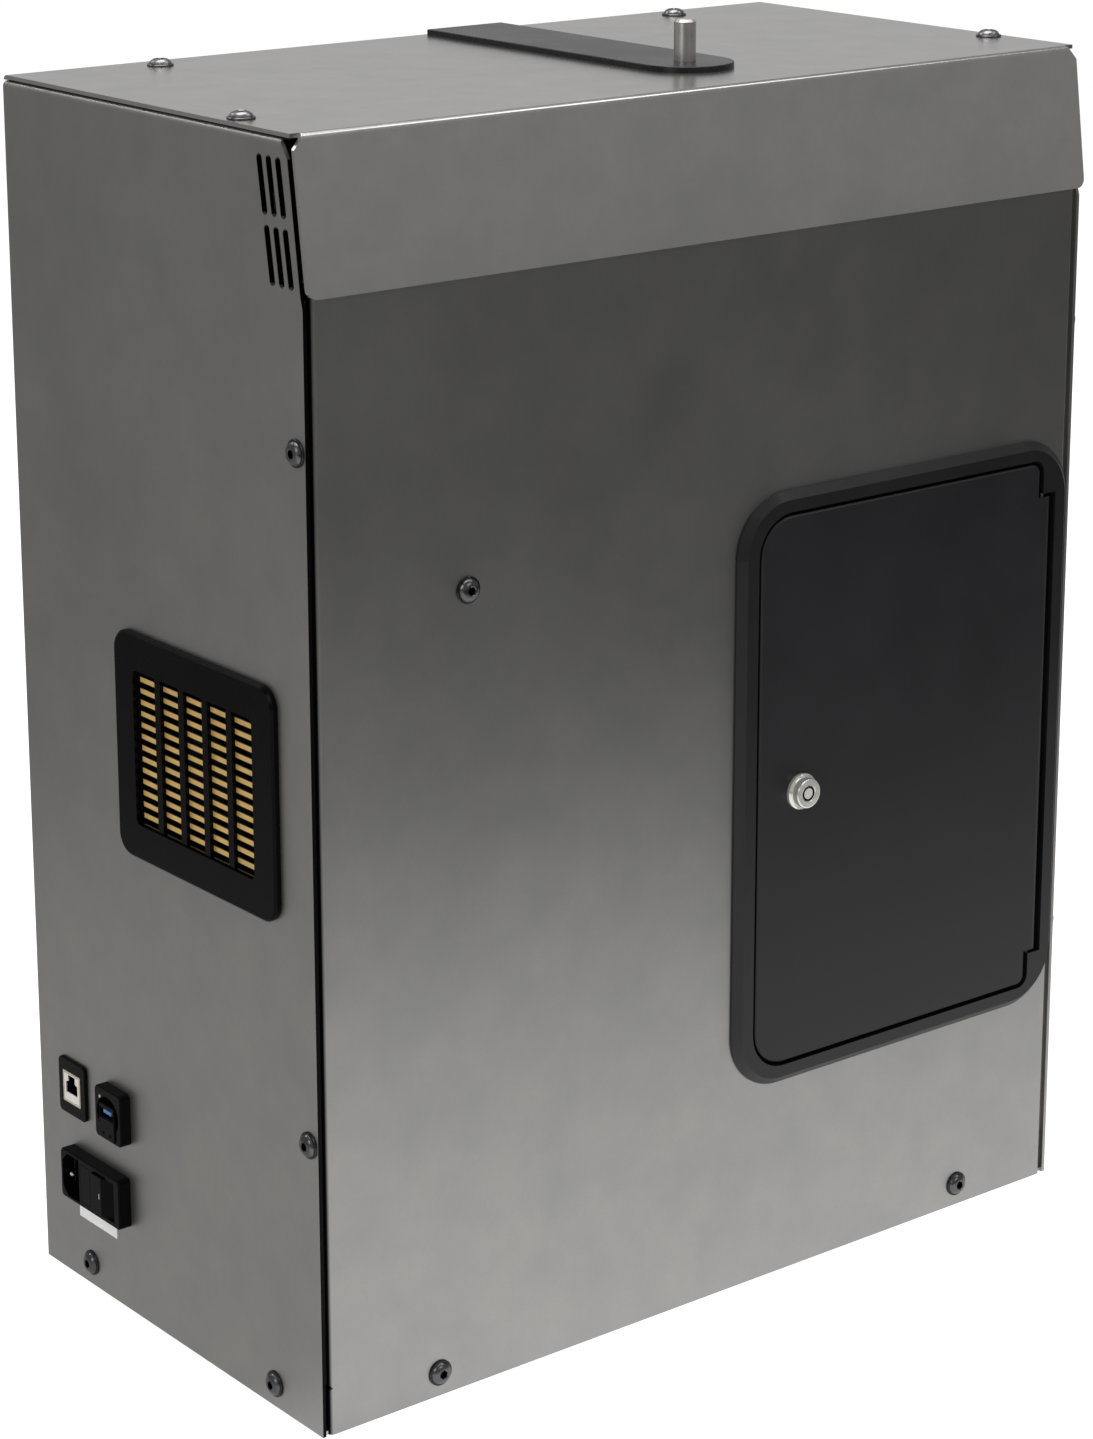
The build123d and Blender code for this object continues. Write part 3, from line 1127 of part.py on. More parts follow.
def top_strap():
    """Flat bar on the hood with a round front end, bored and seated for the pin."""
    bar = strap_outline()
    bar = fillet(bar.edges().group_by(Axis.Z)[-1], 0.6)
    bar -= Pos(STRAP_X, TOP_PIN_Y, HEIGHT) * Cylinder(TOP_PIN_SHANK + HOLE_CLEARANCE, 4 * STRAP_THICK)
    seat = Pos(STRAP_X, TOP_PIN_Y, HEIGHT + STRAP_THICK - TOP_PIN_SEAT)
    return bar - seat * Cylinder(TOP_PIN_RADIUS + HOLE_CLEARANCE, STRAP_THICK, align=UP)


def strap_pin():
    """Locating pin with a chamfered top, a relieved foot, and a shank through the hood."""
    pin = Cylinder(TOP_PIN_RADIUS, TOP_PIN_HEIGHT, align=UP)
    pin = chamfer(pin.edges().group_by(Axis.Z)[-1], TOP_PIN_CHAMFER)
    pin += Cylinder(TOP_PIN_RADIUS - TOP_PIN_RELIEF, TOP_PIN_SEAT, align=DOWN)
    reach = STRAP_THICK + SHEET + TOP_PIN_NUT_THICK + 1.0
    pin += Cylinder(TOP_PIN_SHANK, reach, align=DOWN)
    return Pos(STRAP_X, TOP_PIN_Y, HEIGHT + STRAP_THICK) * pin


def strap_nut():
    nut = extrude(RegularPolygon(TOP_PIN_NUT, 6, major_radius=False), -TOP_PIN_NUT_THICK)
    nut -= Cylinder(TOP_PIN_SHANK + 0.05, 4 * TOP_PIN_NUT_THICK)
    return Pos(STRAP_X, TOP_PIN_Y, HOOD_UNDERSIDE) * nut


# ================================================================ vacuum system
def tube_axis(z):
    return Pos(TUBE_X, TUBE_Y, z)


def source_chamber():
    """Welded box for the ion source, open to the tube, the turbo pump and the probe."""
    width, depth, height = CHAMBER_SIZE
    chamber = Box(width, depth, height, align=UP)
    chamber = fillet(chamber.edges().filter_by(Axis.Z), 8)
    inner = [side - 2 * CHAMBER_WALL for side in CHAMBER_SIZE]
    chamber -= Pos(0, 0, CHAMBER_WALL) * Box(*inner, align=UP)
    chamber -= Cylinder(TURBO_RADIUS - CHAMBER_SEAT, 2 * CHAMBER_WALL)
    chamber -= Pos(0, 0, height) * Cylinder(SOURCE_EXIT, 2 * CHAMBER_WALL)
    port = Pos(width / 2, 0, PROBE_HEIGHT) * Rot(0, 90, 0) * Cylinder(PROBE_RADIUS + 0.5, 4 * CHAMBER_WALL)
    return tube_axis(DECK_TOP) * (chamber - port)


def ion_source():
    """Source block round the probe's tip, and a stack of lens plates up to the roof."""
    roof = CHAMBER_SIZE[2] - CHAMBER_WALL
    first = roof - LENS_COUNT * LENS_PITCH
    block_low = PROBE_HEIGHT - PROBE_RADIUS - LENS_THICK
    source = Pos(0, 0, block_low) * Cylinder(SOURCE_BLOCK, first - block_low, align=UP)
    for index in range(LENS_COUNT):
        source += Pos(0, 0, first + index * LENS_PITCH) * Cylinder(LENS_RADIUS, LENS_THICK, align=UP)
    for angle in (0, 120, 240):
        rod = Cylinder(LENS_ROD, roof - first, align=UP)
        source += Rot(0, 0, angle) * Pos(LENS_RADIUS - 2 * LENS_ROD, 0, first) * rod
    source -= Pos(0, 0, PROBE_HEIGHT) * Cylinder(LENS_BORE, roof, align=UP)
    bore = Cylinder(PROBE_RADIUS + 0.5, 2 * SOURCE_BLOCK, align=UP)
    return tube_axis(DECK_TOP) * (source - Pos(0, 0, PROBE_HEIGHT) * Rot(0, 90, 0) * bore)


def flight_tube():
    """Drift tube between two flanges."""
    tube = Cylinder(TUBE_RADIUS, TUBE_LENGTH, align=UP)
    for start in (0, TUBE_LENGTH - TUBE_FLANGE):
        tube += Pos(0, 0, start) * Cylinder(TUBE_FLANGE_RADIUS, TUBE_FLANGE, align=UP)
    return tube_axis(CHAMBER_TOP) * (tube - Cylinder(TUBE_RADIUS - TUBE_WALL, 3 * TUBE_LENGTH))


def tube_bracket():
    """Clamp ring round the tube with an arm to the front panel's inner face."""
    z = BRACKET_SCREW[1]
    ring = Cylinder(TUBE_RADIUS + BRACKET_WALL, BRACKET_HEIGHT)
    foot_x, foot_z, foot_y = BRACKET_FOOT
    reach = TUBE_Y - FRONT_INNER
    forward = (Align.CENTER, Align.MAX, Align.CENTER)
    arm = Box(foot_x / 2, reach - foot_y / 2, BRACKET_HEIGHT, align=forward)
    foot = Pos(0, foot_y - reach, 0) * Box(foot_x, foot_y, foot_z, align=forward)
    bracket = ring + arm + foot - Cylinder(TUBE_RADIUS, 3 * BRACKET_HEIGHT)
    relief = bracket_plane().offset(-SHEET - foot_y) * Cylinder(
        NUT_FLANGE_RADIUS + 1, NUT_LENGTH + 8, align=DOWN
    )
    return tube_axis(z) * bracket - relief - screw_hole(bracket_plane(), 2 * (SHEET + foot_y + NUT_LENGTH))


def detector_housing():
    """Detector cap on the tube's top flange, with signal and voltage feedthroughs."""
    cap = Cylinder(TUBE_FLANGE_RADIUS, TUBE_FLANGE, align=UP)
    cap += Cylinder(DETECTOR_RADIUS, DETECTOR_HEIGHT, align=UP)
    cap = fillet(cap.edges().group_by(Axis.Z)[-1], 4)
    for angle in (30, 150, 270):
        place = Rot(0, 0, angle) * Pos(DETECTOR_RADIUS * 0.55, 0, DETECTOR_HEIGHT)
        cap += place * Cylinder(FEEDTHROUGH_RADIUS, FEEDTHROUGH_HEIGHT, align=UP)
    return tube_axis(TUBE_TOP) * cap


def turbo_pump():
    """Finned turbo pump hung under the deck from its flange."""
    pump = Cylinder(TURBO_RADIUS, TURBO_HEIGHT, align=DOWN)
    step = TURBO_FIN * 2.4
    for index in range(5):
        z = -TURBO_FLANGE - (index + 1) * step
        pump += Pos(0, 0, z) * Cylinder(TURBO_RADIUS + 7, TURBO_FIN, align=DOWN)
    pump += Pos(0, 0, -FRAME_SHEET) * Cylinder(TURBO_FLANGE_RADIUS, TURBO_FLANGE, align=DOWN)
    return tube_axis(DECK_TOP) * pump


def backing_pump():
    """Two-headed diaphragm pump on the base pan."""
    width, depth, height = PUMP_SIZE
    pump = Box(width * 0.5, depth * 0.7, height, align=UP)
    pump = fillet(pump.edges().filter_by(Axis.Z), 8)
    for side in (-1, 1):
        head = Pos(side * width * 0.375, 0, height / 2) * Rot(0, 90, 0) * Cylinder(height * 0.4, width * 0.25)
        pump += head
    foot = Box(width * 0.7, depth, 5, align=UP)
    return Pos(PUMP_X, TUBE_Y, FRAME_SHEET) * (pump + foot)


def foreline_pipe():
    """Straight pipe from the turbo pump's side to the backing pump's head."""
    z = DECK_TOP - TURBO_HEIGHT + 2 * FORELINE_RADIUS
    length = PUMP_X - PUMP_SIZE[0] / 2 - TUBE_X
    pipe = Cylinder(FORELINE_RADIUS, length, align=UP)
    pipe = Plane((TUBE_X, TUBE_Y, z), x_dir=(0, 1, 0), z_dir=(1, 0, 0)) * pipe
    return pipe - tube_axis(z) * Cylinder(TURBO_RADIUS, 4 * FORELINE_RADIUS)


# ================================================================ electronics
def power_supply():
    """Vented power supply case on the base pan."""
    width, depth, height = SUPPLY_SIZE
    case = Box(width, depth, height, align=UP)
    slot = SlotOverall(width * 0.6, 3)
    rows = GridLocations(0, 9, 1, 10)
    for place in rows:
        case -= Pos(0, 0, height) * place * extrude(slot, -3)
    return Pos(SUPPLY_X, SUPPLY_Y, FRAME_SHEET) * case


def hv_supply():
    """High-voltage module on the bay's roof."""
    case = Box(*HV_SIZE, align=UP)
    case = fillet(case.edges().filter_by(Axis.Z), 3)
    middle_x = (BAY_LOW[0] + BAY_HIGH[0]) / 2
    y = STOP_BACK + HV_SET_BACK + HV_SIZE[1] / 2
    return Pos(middle_x, y, BAY_HIGH[1] + BAY_WALL) * case


def board_corners():
    middle_x = (BAY_LOW[0] + BAY_HIGH[0]) / 2
    dx = BOARD_SIZE[0] / 2 - BOARD_HOLE_INSET
    dz = BOARD_SIZE[2] / 2 - BOARD_HOLE_INSET
    return [(middle_x + sx * dx, DOOR_Z + sz * dz) for sx in (-1, 1) for sz in (-1, 1)]


def board_standoffs():
    """Posts that carry the board behind the bay."""
    start = STOP_BACK + BAY_DEPTH + BAY_WALL
    post = Cylinder(STANDOFF_RADIUS, STANDOFF_LENGTH, align=DOWN)
    return [front_face(x, z, start) * post for x, z in board_corners()]


def control_board():
    """Control board with its main components, behind the bay."""
    width, thick, height = BOARD_SIZE
    start = STOP_BACK + BAY_DEPTH + BAY_WALL + STANDOFF_LENGTH
    middle_x = (BAY_LOW[0] + BAY_HIGH[0]) / 2
    low = (middle_x - width / 2, start, DOOR_Z - height / 2)
    board = block(low, (low[0] + width, start + thick, low[2] + height))
    for x, z, w, d, h in (PROCESSOR, MEMORY, TERMINAL, CONVERTER):
        low = (middle_x + x - w / 2, start + thick, DOOR_Z + z - h / 2)
        board += block(low, (low[0] + w, low[1] + d, low[2] + h))
    return board


# ================================================================ build
def main():
    os.makedirs("parts", exist_ok=True)
    save("base_pan", base_pan())
    save("feet", *feet())
    save("left_side_panel", left_side_panel())
    save("right_side_panel", right_side_panel())
    save("rear_panel", rear_panel())
    save("front_panel", front_panel())
    save("top_hood", top_hood())
    save("front_left_post", corner_post(-1, True))
    save("front_right_post", corner_post(1, True))
    save("rear_left_post", corner_post(-1, False))
    save("rear_right_post", corner_post(1, False))
    save("rear_rail", rear_rail())
    save("equipment_deck", equipment_deck())

    save("left_panel_screws", *screws(left_screw_planes()))
    save("right_panel_screws", *screws(right_screw_planes()))
    save("front_panel_screws", *screws(front_pan_planes() + [bracket_plane()]))
    save("top_hood_screws", *screws(top_front_planes() + top_rear_planes()))
    save("rear_panel_screws", *screws(rear_planes()))
    save("rivet_nuts", *rivet_nuts())

    save("grille_frame", grille_frame())
    save("vent_screen", vent_screen())
    save("fan_frame", fan_frame())
    save("fan_rotor", fan_rotor())

    save("ethernet_flange", ethernet_flange())
    save("ethernet_jack", ethernet_jack())
    save("usb_housing", usb_housing())
    save("usb_port", usb_port())
    save("inlet_body", inlet_body())
    save("inlet_pins", *inlet_pins())
    save("switch_rocker", switch_rocker())
    save("fuse_drawer", fuse_drawer())
    save("fuses", *fuses())

    save("door_frame", door_frame())
    save("access_door", access_door())
    save("hinge_pins", *hinge_bores(HINGE_PIN))
    save("lock_body", lock_body())
    save("lock_plug", lock_plug())
    save("lock_cam", lock_cam())
    save("lock_nut", lock_nut())
    save("bay_liner", bay_liner())
    save("load_port", load_port())
    save("sample_probe", sample_probe())
    save("probe_knob", probe_knob())

    save("top_strap", top_strap())
    save("strap_pin", strap_pin())
    save("strap_nut", strap_nut())

    save("source_chamber", source_chamber())
    save("ion_source", ion_source())
    save("flight_tube", flight_tube())
    save("tube_bracket", tube_bracket())
    save("detector_housing", detector_housing())
    save("turbo_pump", turbo_pump())
    save("backing_pump", backing_pump())
    save("foreline_pipe", foreline_pipe())
    save("power_supply", power_supply())
    save("hv_supply", hv_supply())
    save("control_board", control_board())
    save("board_standoffs", *board_standoffs())


main()
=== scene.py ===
from math import cos, pi, sin

import bmesh
import bpy
from mathutils import Matrix, Vector


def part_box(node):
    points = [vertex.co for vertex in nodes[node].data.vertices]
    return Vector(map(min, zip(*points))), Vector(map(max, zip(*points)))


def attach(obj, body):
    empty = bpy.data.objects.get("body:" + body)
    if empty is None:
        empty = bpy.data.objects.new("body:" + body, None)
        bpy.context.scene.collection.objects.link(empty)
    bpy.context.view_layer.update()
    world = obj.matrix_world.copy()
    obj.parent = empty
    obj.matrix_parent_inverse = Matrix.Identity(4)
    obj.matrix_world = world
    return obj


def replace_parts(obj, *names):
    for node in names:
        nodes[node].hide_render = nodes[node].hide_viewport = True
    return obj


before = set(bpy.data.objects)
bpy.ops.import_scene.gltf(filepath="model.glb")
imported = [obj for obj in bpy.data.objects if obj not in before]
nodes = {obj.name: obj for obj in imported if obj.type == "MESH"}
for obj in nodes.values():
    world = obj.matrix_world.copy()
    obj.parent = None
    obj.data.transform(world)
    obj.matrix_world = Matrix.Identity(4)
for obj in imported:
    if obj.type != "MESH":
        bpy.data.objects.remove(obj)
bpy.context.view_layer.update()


# ---------------------------------------------------------------- node helpers
class Graph:
    """A material's node tree, with short calls for the nodes that the finishes use."""

    def __init__(self, name):
        self.material = bpy.data.materials.new(name)
        self.material.use_nodes = True
        self.tree = self.material.node_tree
        self.tree.nodes.clear()
        self.out = self.tree.nodes.new("ShaderNodeOutputMaterial")
        self.place = self.tree.nodes.new("ShaderNodeTexCoord").outputs["Object"]

    def link(self, source, target):
        self.tree.links.new(source, target)

    def node(self, kind, **values):
        made = self.tree.nodes.new(kind)
        for key, value in values.items():
            setattr(made, key, value)
        return made

    def stretch(self, scale):
        mapping = self.node("ShaderNodeMapping")
        mapping.inputs["Scale"].default_value = scale
        self.link(self.place, mapping.inputs["Vector"])
        return mapping.outputs["Vector"]

    def noise(self, scale, detail=3.0, rough=0.55, vector=None):
        made = self.node("ShaderNodeTexNoise")
        made.inputs["Scale"].default_value = scale
        made.inputs["Detail"].default_value = detail
        made.inputs["Roughness"].default_value = rough
        self.link(vector or self.place, made.inputs["Vector"])
        return made.outputs["Fac"]

    def spread(self, value, low, high, from_low=0.3, from_high=0.7):
        made = self.node("ShaderNodeMapRange")
        made.inputs["From Min"].default_value = from_low
        made.inputs["From Max"].default_value = from_high
        made.inputs["To Min"].default_value = low
        made.inputs["To Max"].default_value = high
        self.link(value, made.inputs["Value"])
        return made.outputs["Result"]

    def maths(self, operation, a, b):
        made = self.node("ShaderNodeMath", operation=operation)
        for socket, value in zip(made.inputs, (a, b)):
            if isinstance(value, (int, float)):
                socket.default_value = value
            else:
                self.link(value, socket)
        return made.outputs[0]

    def mix(self, factor, a, b):
        made = self.node("ShaderNodeMix", data_type="RGBA")
        self.link(factor, made.inputs[0])
        for socket, value in ((made.inputs[6], a), (made.inputs[7], b)):
            if isinstance(value, tuple):
                socket.default_value = (*value, 1.0)
            else:
                self.link(value, socket)
        return made.outputs[2]

    def bump(self, height, strength, distance):
        made = self.node("ShaderNodeBump")
        made.inputs["Strength"].default_value = strength
        made.inputs["Distance"].default_value = distance
        self.link(height, made.inputs["Height"])
        return made.outputs["Normal"]

    def along(self, axis, vector=None):
        """One part of a vector: by default, the position along an axis."""
        apart = self.node("ShaderNodeSeparateXYZ")
        self.link(vector or self.place, apart.inputs[0])
        return apart.outputs[axis]

    def within(self, value, low, high):
        """1 where a value is between two limits."""
        above = self.maths("GREATER_THAN", value, low)
        return self.maths("MULTIPLY", above, self.maths("LESS_THAN", value, high))

    def shaded_cut_edge(self, outside, thick):
        """1 on the front cut edge of the left sheet, from its outside face inward, where painted shade
        goes.
        """
        normal = self.node("ShaderNodeTexCoord").outputs["Normal"]
        edge_on = self.maths("LESS_THAN", self.along(1, normal), -0.9)
        low, high = outside + thick * 0.06, outside + thick * 1.05
        return self.maths("MULTIPLY", self.within(self.along(0), low, high), edge_on)

    def between(self, axis, middle, pitch, half):
        """1 on the strips between bands of a width of 2 half, a pitch apart along an axis."""
        turns = self.maths("DIVIDE", self.maths("SUBTRACT", self.along(axis), middle), pitch)
        part = self.maths("FRACT", self.maths("ADD", turns, 10.5), 0.0)
        reach = self.maths("ABSOLUTE", self.maths("SUBTRACT", part, 0.5), 0.0)
        return self.maths("GREATER_THAN", reach, half / pitch)

    def surface(self, colour, rough, normal, **fixed):
        """The shader itself: linked colour, roughness and normal, and fixed values by name."""
        shader = self.node("ShaderNodeBsdfPrincipled")
        for name, value in (("Base Color", colour), ("Roughness", rough), ("Normal", normal)):
            if isinstance(value, tuple):
                shader.inputs[name].default_value = (*value, 1.0)
            elif isinstance(value, (int, float)):
                shader.inputs[name].default_value = value
            elif value is not None:
                self.link(value, shader.inputs[name])
        for name, value in fixed.items():
            shader.inputs[name.replace("_", " ")].default_value = value
        self.link(shader.outputs[0], self.out.inputs["Surface"])
        return self.material


def shade(colour, factor):
    return tuple(min(1.0, channel * factor) for channel in colour)


# ---------------------------------------------------------------- finishes
def blasted_steel(name, colour, rough, grain=1.0, edge=None, seam=None):
    """Bead-blasted stainless sheet: fine pits, soft warm and cool patches, faint handling marks, and
    painted shade on a cut edge and beside a seam.
    """
    g = Graph(name)
    clouds = g.noise(7.0, 4.0, 0.6)
    patches = g.noise(34.0, 4.0, 0.62)
    fine = g.noise(900.0, 2.0, 0.5)
    pits = g.noise(2600.0, 1.0, 0.5)
    marks = g.noise(30.0, 5.0, 0.65, g.stretch((1.0, 1.0, 0.5)))
    tone = g.mix(g.spread(clouds, 0.0, 1.0), shade(colour, 0.93), shade(colour, 1.06))
    warm = tuple(channel * tint for channel, tint in zip(colour, (1.03, 1.0, 0.94)))
    tone = g.mix(g.spread(patches, 0.0, 0.6), tone, warm)
    tone = g.mix(g.spread(patches, 0.6, 0.0), tone, shade(colour, 0.83))
    tone = g.mix(g.spread(fine, 0.0, 0.22 * grain), tone, shade(colour, 0.8))
    roughness = g.maths("ADD", g.spread(clouds, rough - 0.02, rough + 0.02), g.spread(marks, -0.01, 0.012))
    # painted shade: the left sheet's front cut edge is darkened to SEAM_SHADE for the shade in the corner
    # seam
    if edge:
        tone = g.mix(g.shaded_cut_edge(*edge), tone, SEAM_SHADE)
    # painted shade: the front sheet darkens to SEAM_SHADE towards its left edge, beside the corner seam
    if seam:
        tone = g.mix(g.spread(g.along(0), 0.0, 1.0, *seam), tone, SEAM_SHADE)
    normal = g.bump(g.maths("ADD", fine, pits), 0.16 * grain, 0.00012)
    return g.surface(tone, roughness, normal, Metallic=1.0)


def brushed_steel(name, colour, rough, axis=2):
    """Brushed sheet: long fine lines along one axis, over soft patches."""
    g = Graph(name)
    scale = tuple(12.0 if index == axis else 900.0 for index in range(3))
    lines = g.noise(1.0, 4.0, 0.7, g.stretch(scale))
    clouds = g.noise(5.0, 3.0, 0.5)
    tone = g.mix(g.spread(lines, 0.0, 1.0), shade(colour, 0.95), shade(colour, 1.04))
    tone = g.mix(g.spread(clouds, 0.0, 0.5), tone, shade(colour, 0.93))
    roughness = g.maths("ADD", g.spread(clouds, rough - 0.02, rough + 0.03), g.spread(lines, -0.03, 0.03))
    return g.surface(tone, roughness, g.bump(lines, 0.08, 0.00008), Metallic=1.0)


def slotted_brass(name, colour, rough):
    """Brass screen, bright on its dashes, with painted shade round them."""
    low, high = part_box("grille_frame")
    g = Graph(name)
    wear = g.noise(160.0, 3.0, 0.5)
    fine = g.noise(1500.0, 2.0, 0.5)
    tone = g.mix(g.spread(wear, 0.0, 1.0), shade(colour, 0.92), shade(colour, 1.05))
    # painted shade between and round the dashes, set 0.6 mm to one side along Y as a painted shadow of the
    # opening's edge
    black = (0.006, 0.005, 0.004)
    tone = g.mix(g.between(1, (low.y + high.y) / 2 - 0.0006, BAR_PITCH, DASH_LENGTH / 2), tone, black)
    tone = g.mix(g.between(2, (low.z + high.z) / 2, DASH_PITCH, DASH_HEIGHT / 2), tone, black)
    roughness = g.spread(wear, rough - 0.05, rough + 0.05)
    return g.surface(tone, roughness, g.bump(fine, 0.05, 0.00005), Metallic=0.55)


def turned_metal(name, colour, rough, scale=700.0, metal=1.0, shaded_recess=None):
    """Turned or plated small metal: faint wear and polish, and painted shade in the depths of a recess."""
    g = Graph(name)
    wear = g.noise(90.0, 4.0, 0.6)
    fine = g.noise(scale, 2.0, 0.5)
    tone = g.mix(g.spread(wear, 0.0, 1.0), shade(colour, 0.9), shade(colour, 1.05))
    # painted shade: near-black from just behind the face into the recess's depth
    if shaded_recess:
        tone = g.mix(g.within(g.along(1), *shaded_recess), tone, (0.004, 0.004, 0.004))
    roughness = g.maths("ADD", g.spread(wear, rough - 0.05, rough + 0.07), g.spread(fine, -0.02, 0.02))
    return g.surface(tone, roughness, g.bump(fine, 0.06, 0.00005), Metallic=metal)


def moulded(name, colour, rough, texture=1400.0, depth=0.25, index=1.48, level=0.5):
    """Moulded plastic: spark-eroded texture, slight unevenness of tone and shine."""
    g = Graph(name)
    grain = g.noise(texture, 2.0, 0.6)
    clouds = g.noise(14.0, 4.0, 0.6)
    tone = g.mix(g.spread(clouds, 0.0, 1.0), shade(colour, 0.85), shade(colour, 1.2))
    roughness = g.maths("ADD", g.spread(clouds, rough - 0.04, rough + 0.04), g.spread(grain, -0.03, 0.04))
    return g.surface(tone, roughness, g.bump(grain, depth, 0.0001), IOR=index, Specular_IOR_Level=level)


def rubbery(name, colour):
    g = Graph(name)
    grain = g.noise(500.0, 3.0, 0.6)
    tone = g.mix(g.spread(grain, 0.0, 1.0), shade(colour, 0.8), shade(colour, 1.3))
    return g.surface(tone, g.spread(grain, 0.75, 0.9), g.bump(grain, 0.3, 0.0002))


def circuit_board(name):
    """Solder mask with a lighter copper pattern under it."""
    g = Graph(name)
    cells = g.node("ShaderNodeTexVoronoi", feature="DISTANCE_TO_EDGE")
    cells.inputs["Scale"].default_value = 160.0
    g.link(g.place, cells.inputs["Vector"])
    tracks = g.spread(cells.outputs["Distance"], 0.0, 1.0, 0.02, 0.08)
    tone = g.mix(tracks, (0.07, 0.3, 0.15), (0.015, 0.12, 0.05))
    return g.surface(tone, 0.35, g.bump(tracks, 0.2, 0.0001))


def clear_glass(name):
    g = Graph(name)
    haze = g.noise(60.0, 3.0, 0.5)
    return g.surface((0.9, 0.93, 0.93), g.spread(haze, 0.03, 0.1), None, Transmission_Weight=1.0, IOR=1.5)


SHEET = 0.002                           # wall of the outer panels
SEAM_SHADE = (0.008, 0.008, 0.008)
BAR_PITCH, DASH_LENGTH = 0.021, 0.0172  # the screen's dashes between the upright bars
DASH_PITCH, DASH_HEIGHT = 0.0059, 0.00256
STEEL_TOP = (0.68, 0.672, 0.66)
STEEL_SIDE = (0.465, 0.46, 0.448)
STEEL_FRONT = (0.445, 0.442, 0.436)
left_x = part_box("left_side_panel")[0].x
seam_shade = (left_x + 0.0059, left_x + 0.0047)
plug_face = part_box("lock_plug")[0].y
# painted shade in the lock plug's keyway, from just behind the plug's face
keyway_shade = (plug_face + 0.00015, plug_face + 0.004)
finish = {
    "hood": blasted_steel("hood_steel", STEEL_TOP, 0.24, 0.5),
    "front": blasted_steel("front_steel", STEEL_FRONT, 0.36, seam=seam_shade),
    "side": blasted_steel("side_steel", STEEL_SIDE, 0.44, edge=(left_x, SHEET)),
    "zinc": brushed_steel("zinc_sheet", (0.66, 0.67, 0.68), 0.32),
    "screw": turned_metal("screw_steel", (0.15, 0.15, 0.155), 0.24),
    # painted shade: the screws' flanges are darker than their heads, and their hex sockets near-black
    "screw_rim_painted_shade": turned_metal("screw_flange_painted_shade", (0.05, 0.05, 0.052), 0.28),
    # painted light: the top screws are a lighter copy of the screw finish, for the bright light they catch
    # from above
    "painted_light_top_screw": turned_metal("top_screw_steel", (0.32, 0.31, 0.31), 0.3),
    "screw_socket_painted_shade": turned_metal("screw_socket_painted_shade", (0.006, 0.006, 0.006), 0.4),
    "black": moulded("black_plastic", (0.0022, 0.0022, 0.0024), 0.26, 1400.0, 0.12, 1.45, 0.09),
    "door": moulded("door_plastic", (0.009, 0.009, 0.011), 0.40, 1100.0, 0.3),
    "rim": moulded("rim_plastic", (0.008, 0.008, 0.009), 0.34, 1300.0, 0.2),
    "brass": turned_metal("brass_standoff", (0.80, 0.60, 0.27), 0.30, 1200.0),
    "screen": slotted_brass("brass_screen", (0.88, 0.58, 0.19), 0.34),
    "rubber": rubbery("foot_rubber", (0.02, 0.02, 0.02)),
    "nickel": turned_metal("bright_nickel", (0.72, 0.71, 0.68), 0.16),
    "satin": turned_metal("satin_pin", (0.70, 0.68, 0.65), 0.36),
    "chrome": turned_metal("lock_chrome", (0.99, 0.95, 0.90), 0.13, 700.0, 0.7),
    "plug": turned_metal("plug_chrome", (0.98, 0.94, 0.89), 0.2, 700.0, 0.55, keyway_shade),
    "plated": turned_metal("plated_shell", (0.62, 0.54, 0.42), 0.24, 900.0, 0.5),
    "tinned_and_tip_highlight": turned_metal("tinned_face", (0.88, 0.85, 0.78), 0.2, 900.0, 0.35),
    # painted shade: the USB port and the network jack are painted near-black for the shade inside them
    "shadowed": turned_metal("shell_inside_painted_shade", (0.03, 0.03, 0.035), 0.4),
    "strap": moulded("strap_paint", (0.012, 0.012, 0.013), 0.27, 1000.0, 0.1, 1.5, 0.36),
    "vacuum": brushed_steel("vacuum_steel", (0.68, 0.68, 0.67), 0.22),
    "alloy": turned_metal("machined_alloy", (0.80, 0.80, 0.81), 0.30),
    "knob": moulded("knob_plastic", (0.02, 0.02, 0.02), 0.28, 900.0, 0.1),
    "board": circuit_board("board_mask"),
    "glass": clear_glass("fuse_glass"),
    "white": moulded("white_mark", (0.78, 0.78, 0.76), 0.45, 900.0, 0.1),
    "print": moulded("grey_print", (0.42, 0.42, 0.41), 0.45, 900.0, 0.1),
    "blue": moulded("blue_tongue", (0.05, 0.20, 0.46), 0.35, 900.0, 0.1),
}

WEARS = {
    "hood": ["top_hood"],
    "front": ["front_panel"],
    "side": ["left_side_panel", "right_side_panel", "rear_panel"],
    "zinc": [
        "base_pan", "front_left_post", "front_right_post", "rear_left_post", "rear_right_post",
        "rear_rail", "equipment_deck", "bay_liner", "rivet_nuts", "strap_nut", "tube_bracket",
    ],
    "screw": [
        "left_panel_screws", "right_panel_screws", "front_panel_screws", "top_hood_screws",
        "rear_panel_screws",
    ],
    "black": [
        "grille_frame", "usb_housing", "fan_frame", "fan_rotor", "inlet_body", "switch_rocker",
        "fuse_drawer", "ethernet_flange",
    ],
    "door": ["access_door"],
    "rim": ["door_frame"],
    "brass": ["board_standoffs"],
    "screen": ["vent_screen"],
    "rubber": ["feet"],
    "nickel": ["inlet_pins", "lock_cam", "lock_nut", "hinge_pins"],
    "satin": ["strap_pin"],
    "chrome": ["lock_body"],
    "plug": ["lock_plug"],
    "shadowed": ["usb_port", "ethernet_jack"],
    "strap": ["top_strap"],
    "vacuum": ["flight_tube", "foreline_pipe", "ion_source"],
    "alloy": [
        "source_chamber", "detector_housing", "turbo_pump", "load_port", "backing_pump",
        "power_supply", "hv_supply", "sample_probe",
    ],
    "knob": ["probe_knob"],
    "board": ["control_board"],
    "glass": ["fuses"],
}
for key, names in WEARS.items():
    for name in names:
        nodes[name].data.materials.clear()
        nodes[name].data.materials.append(finish[key])


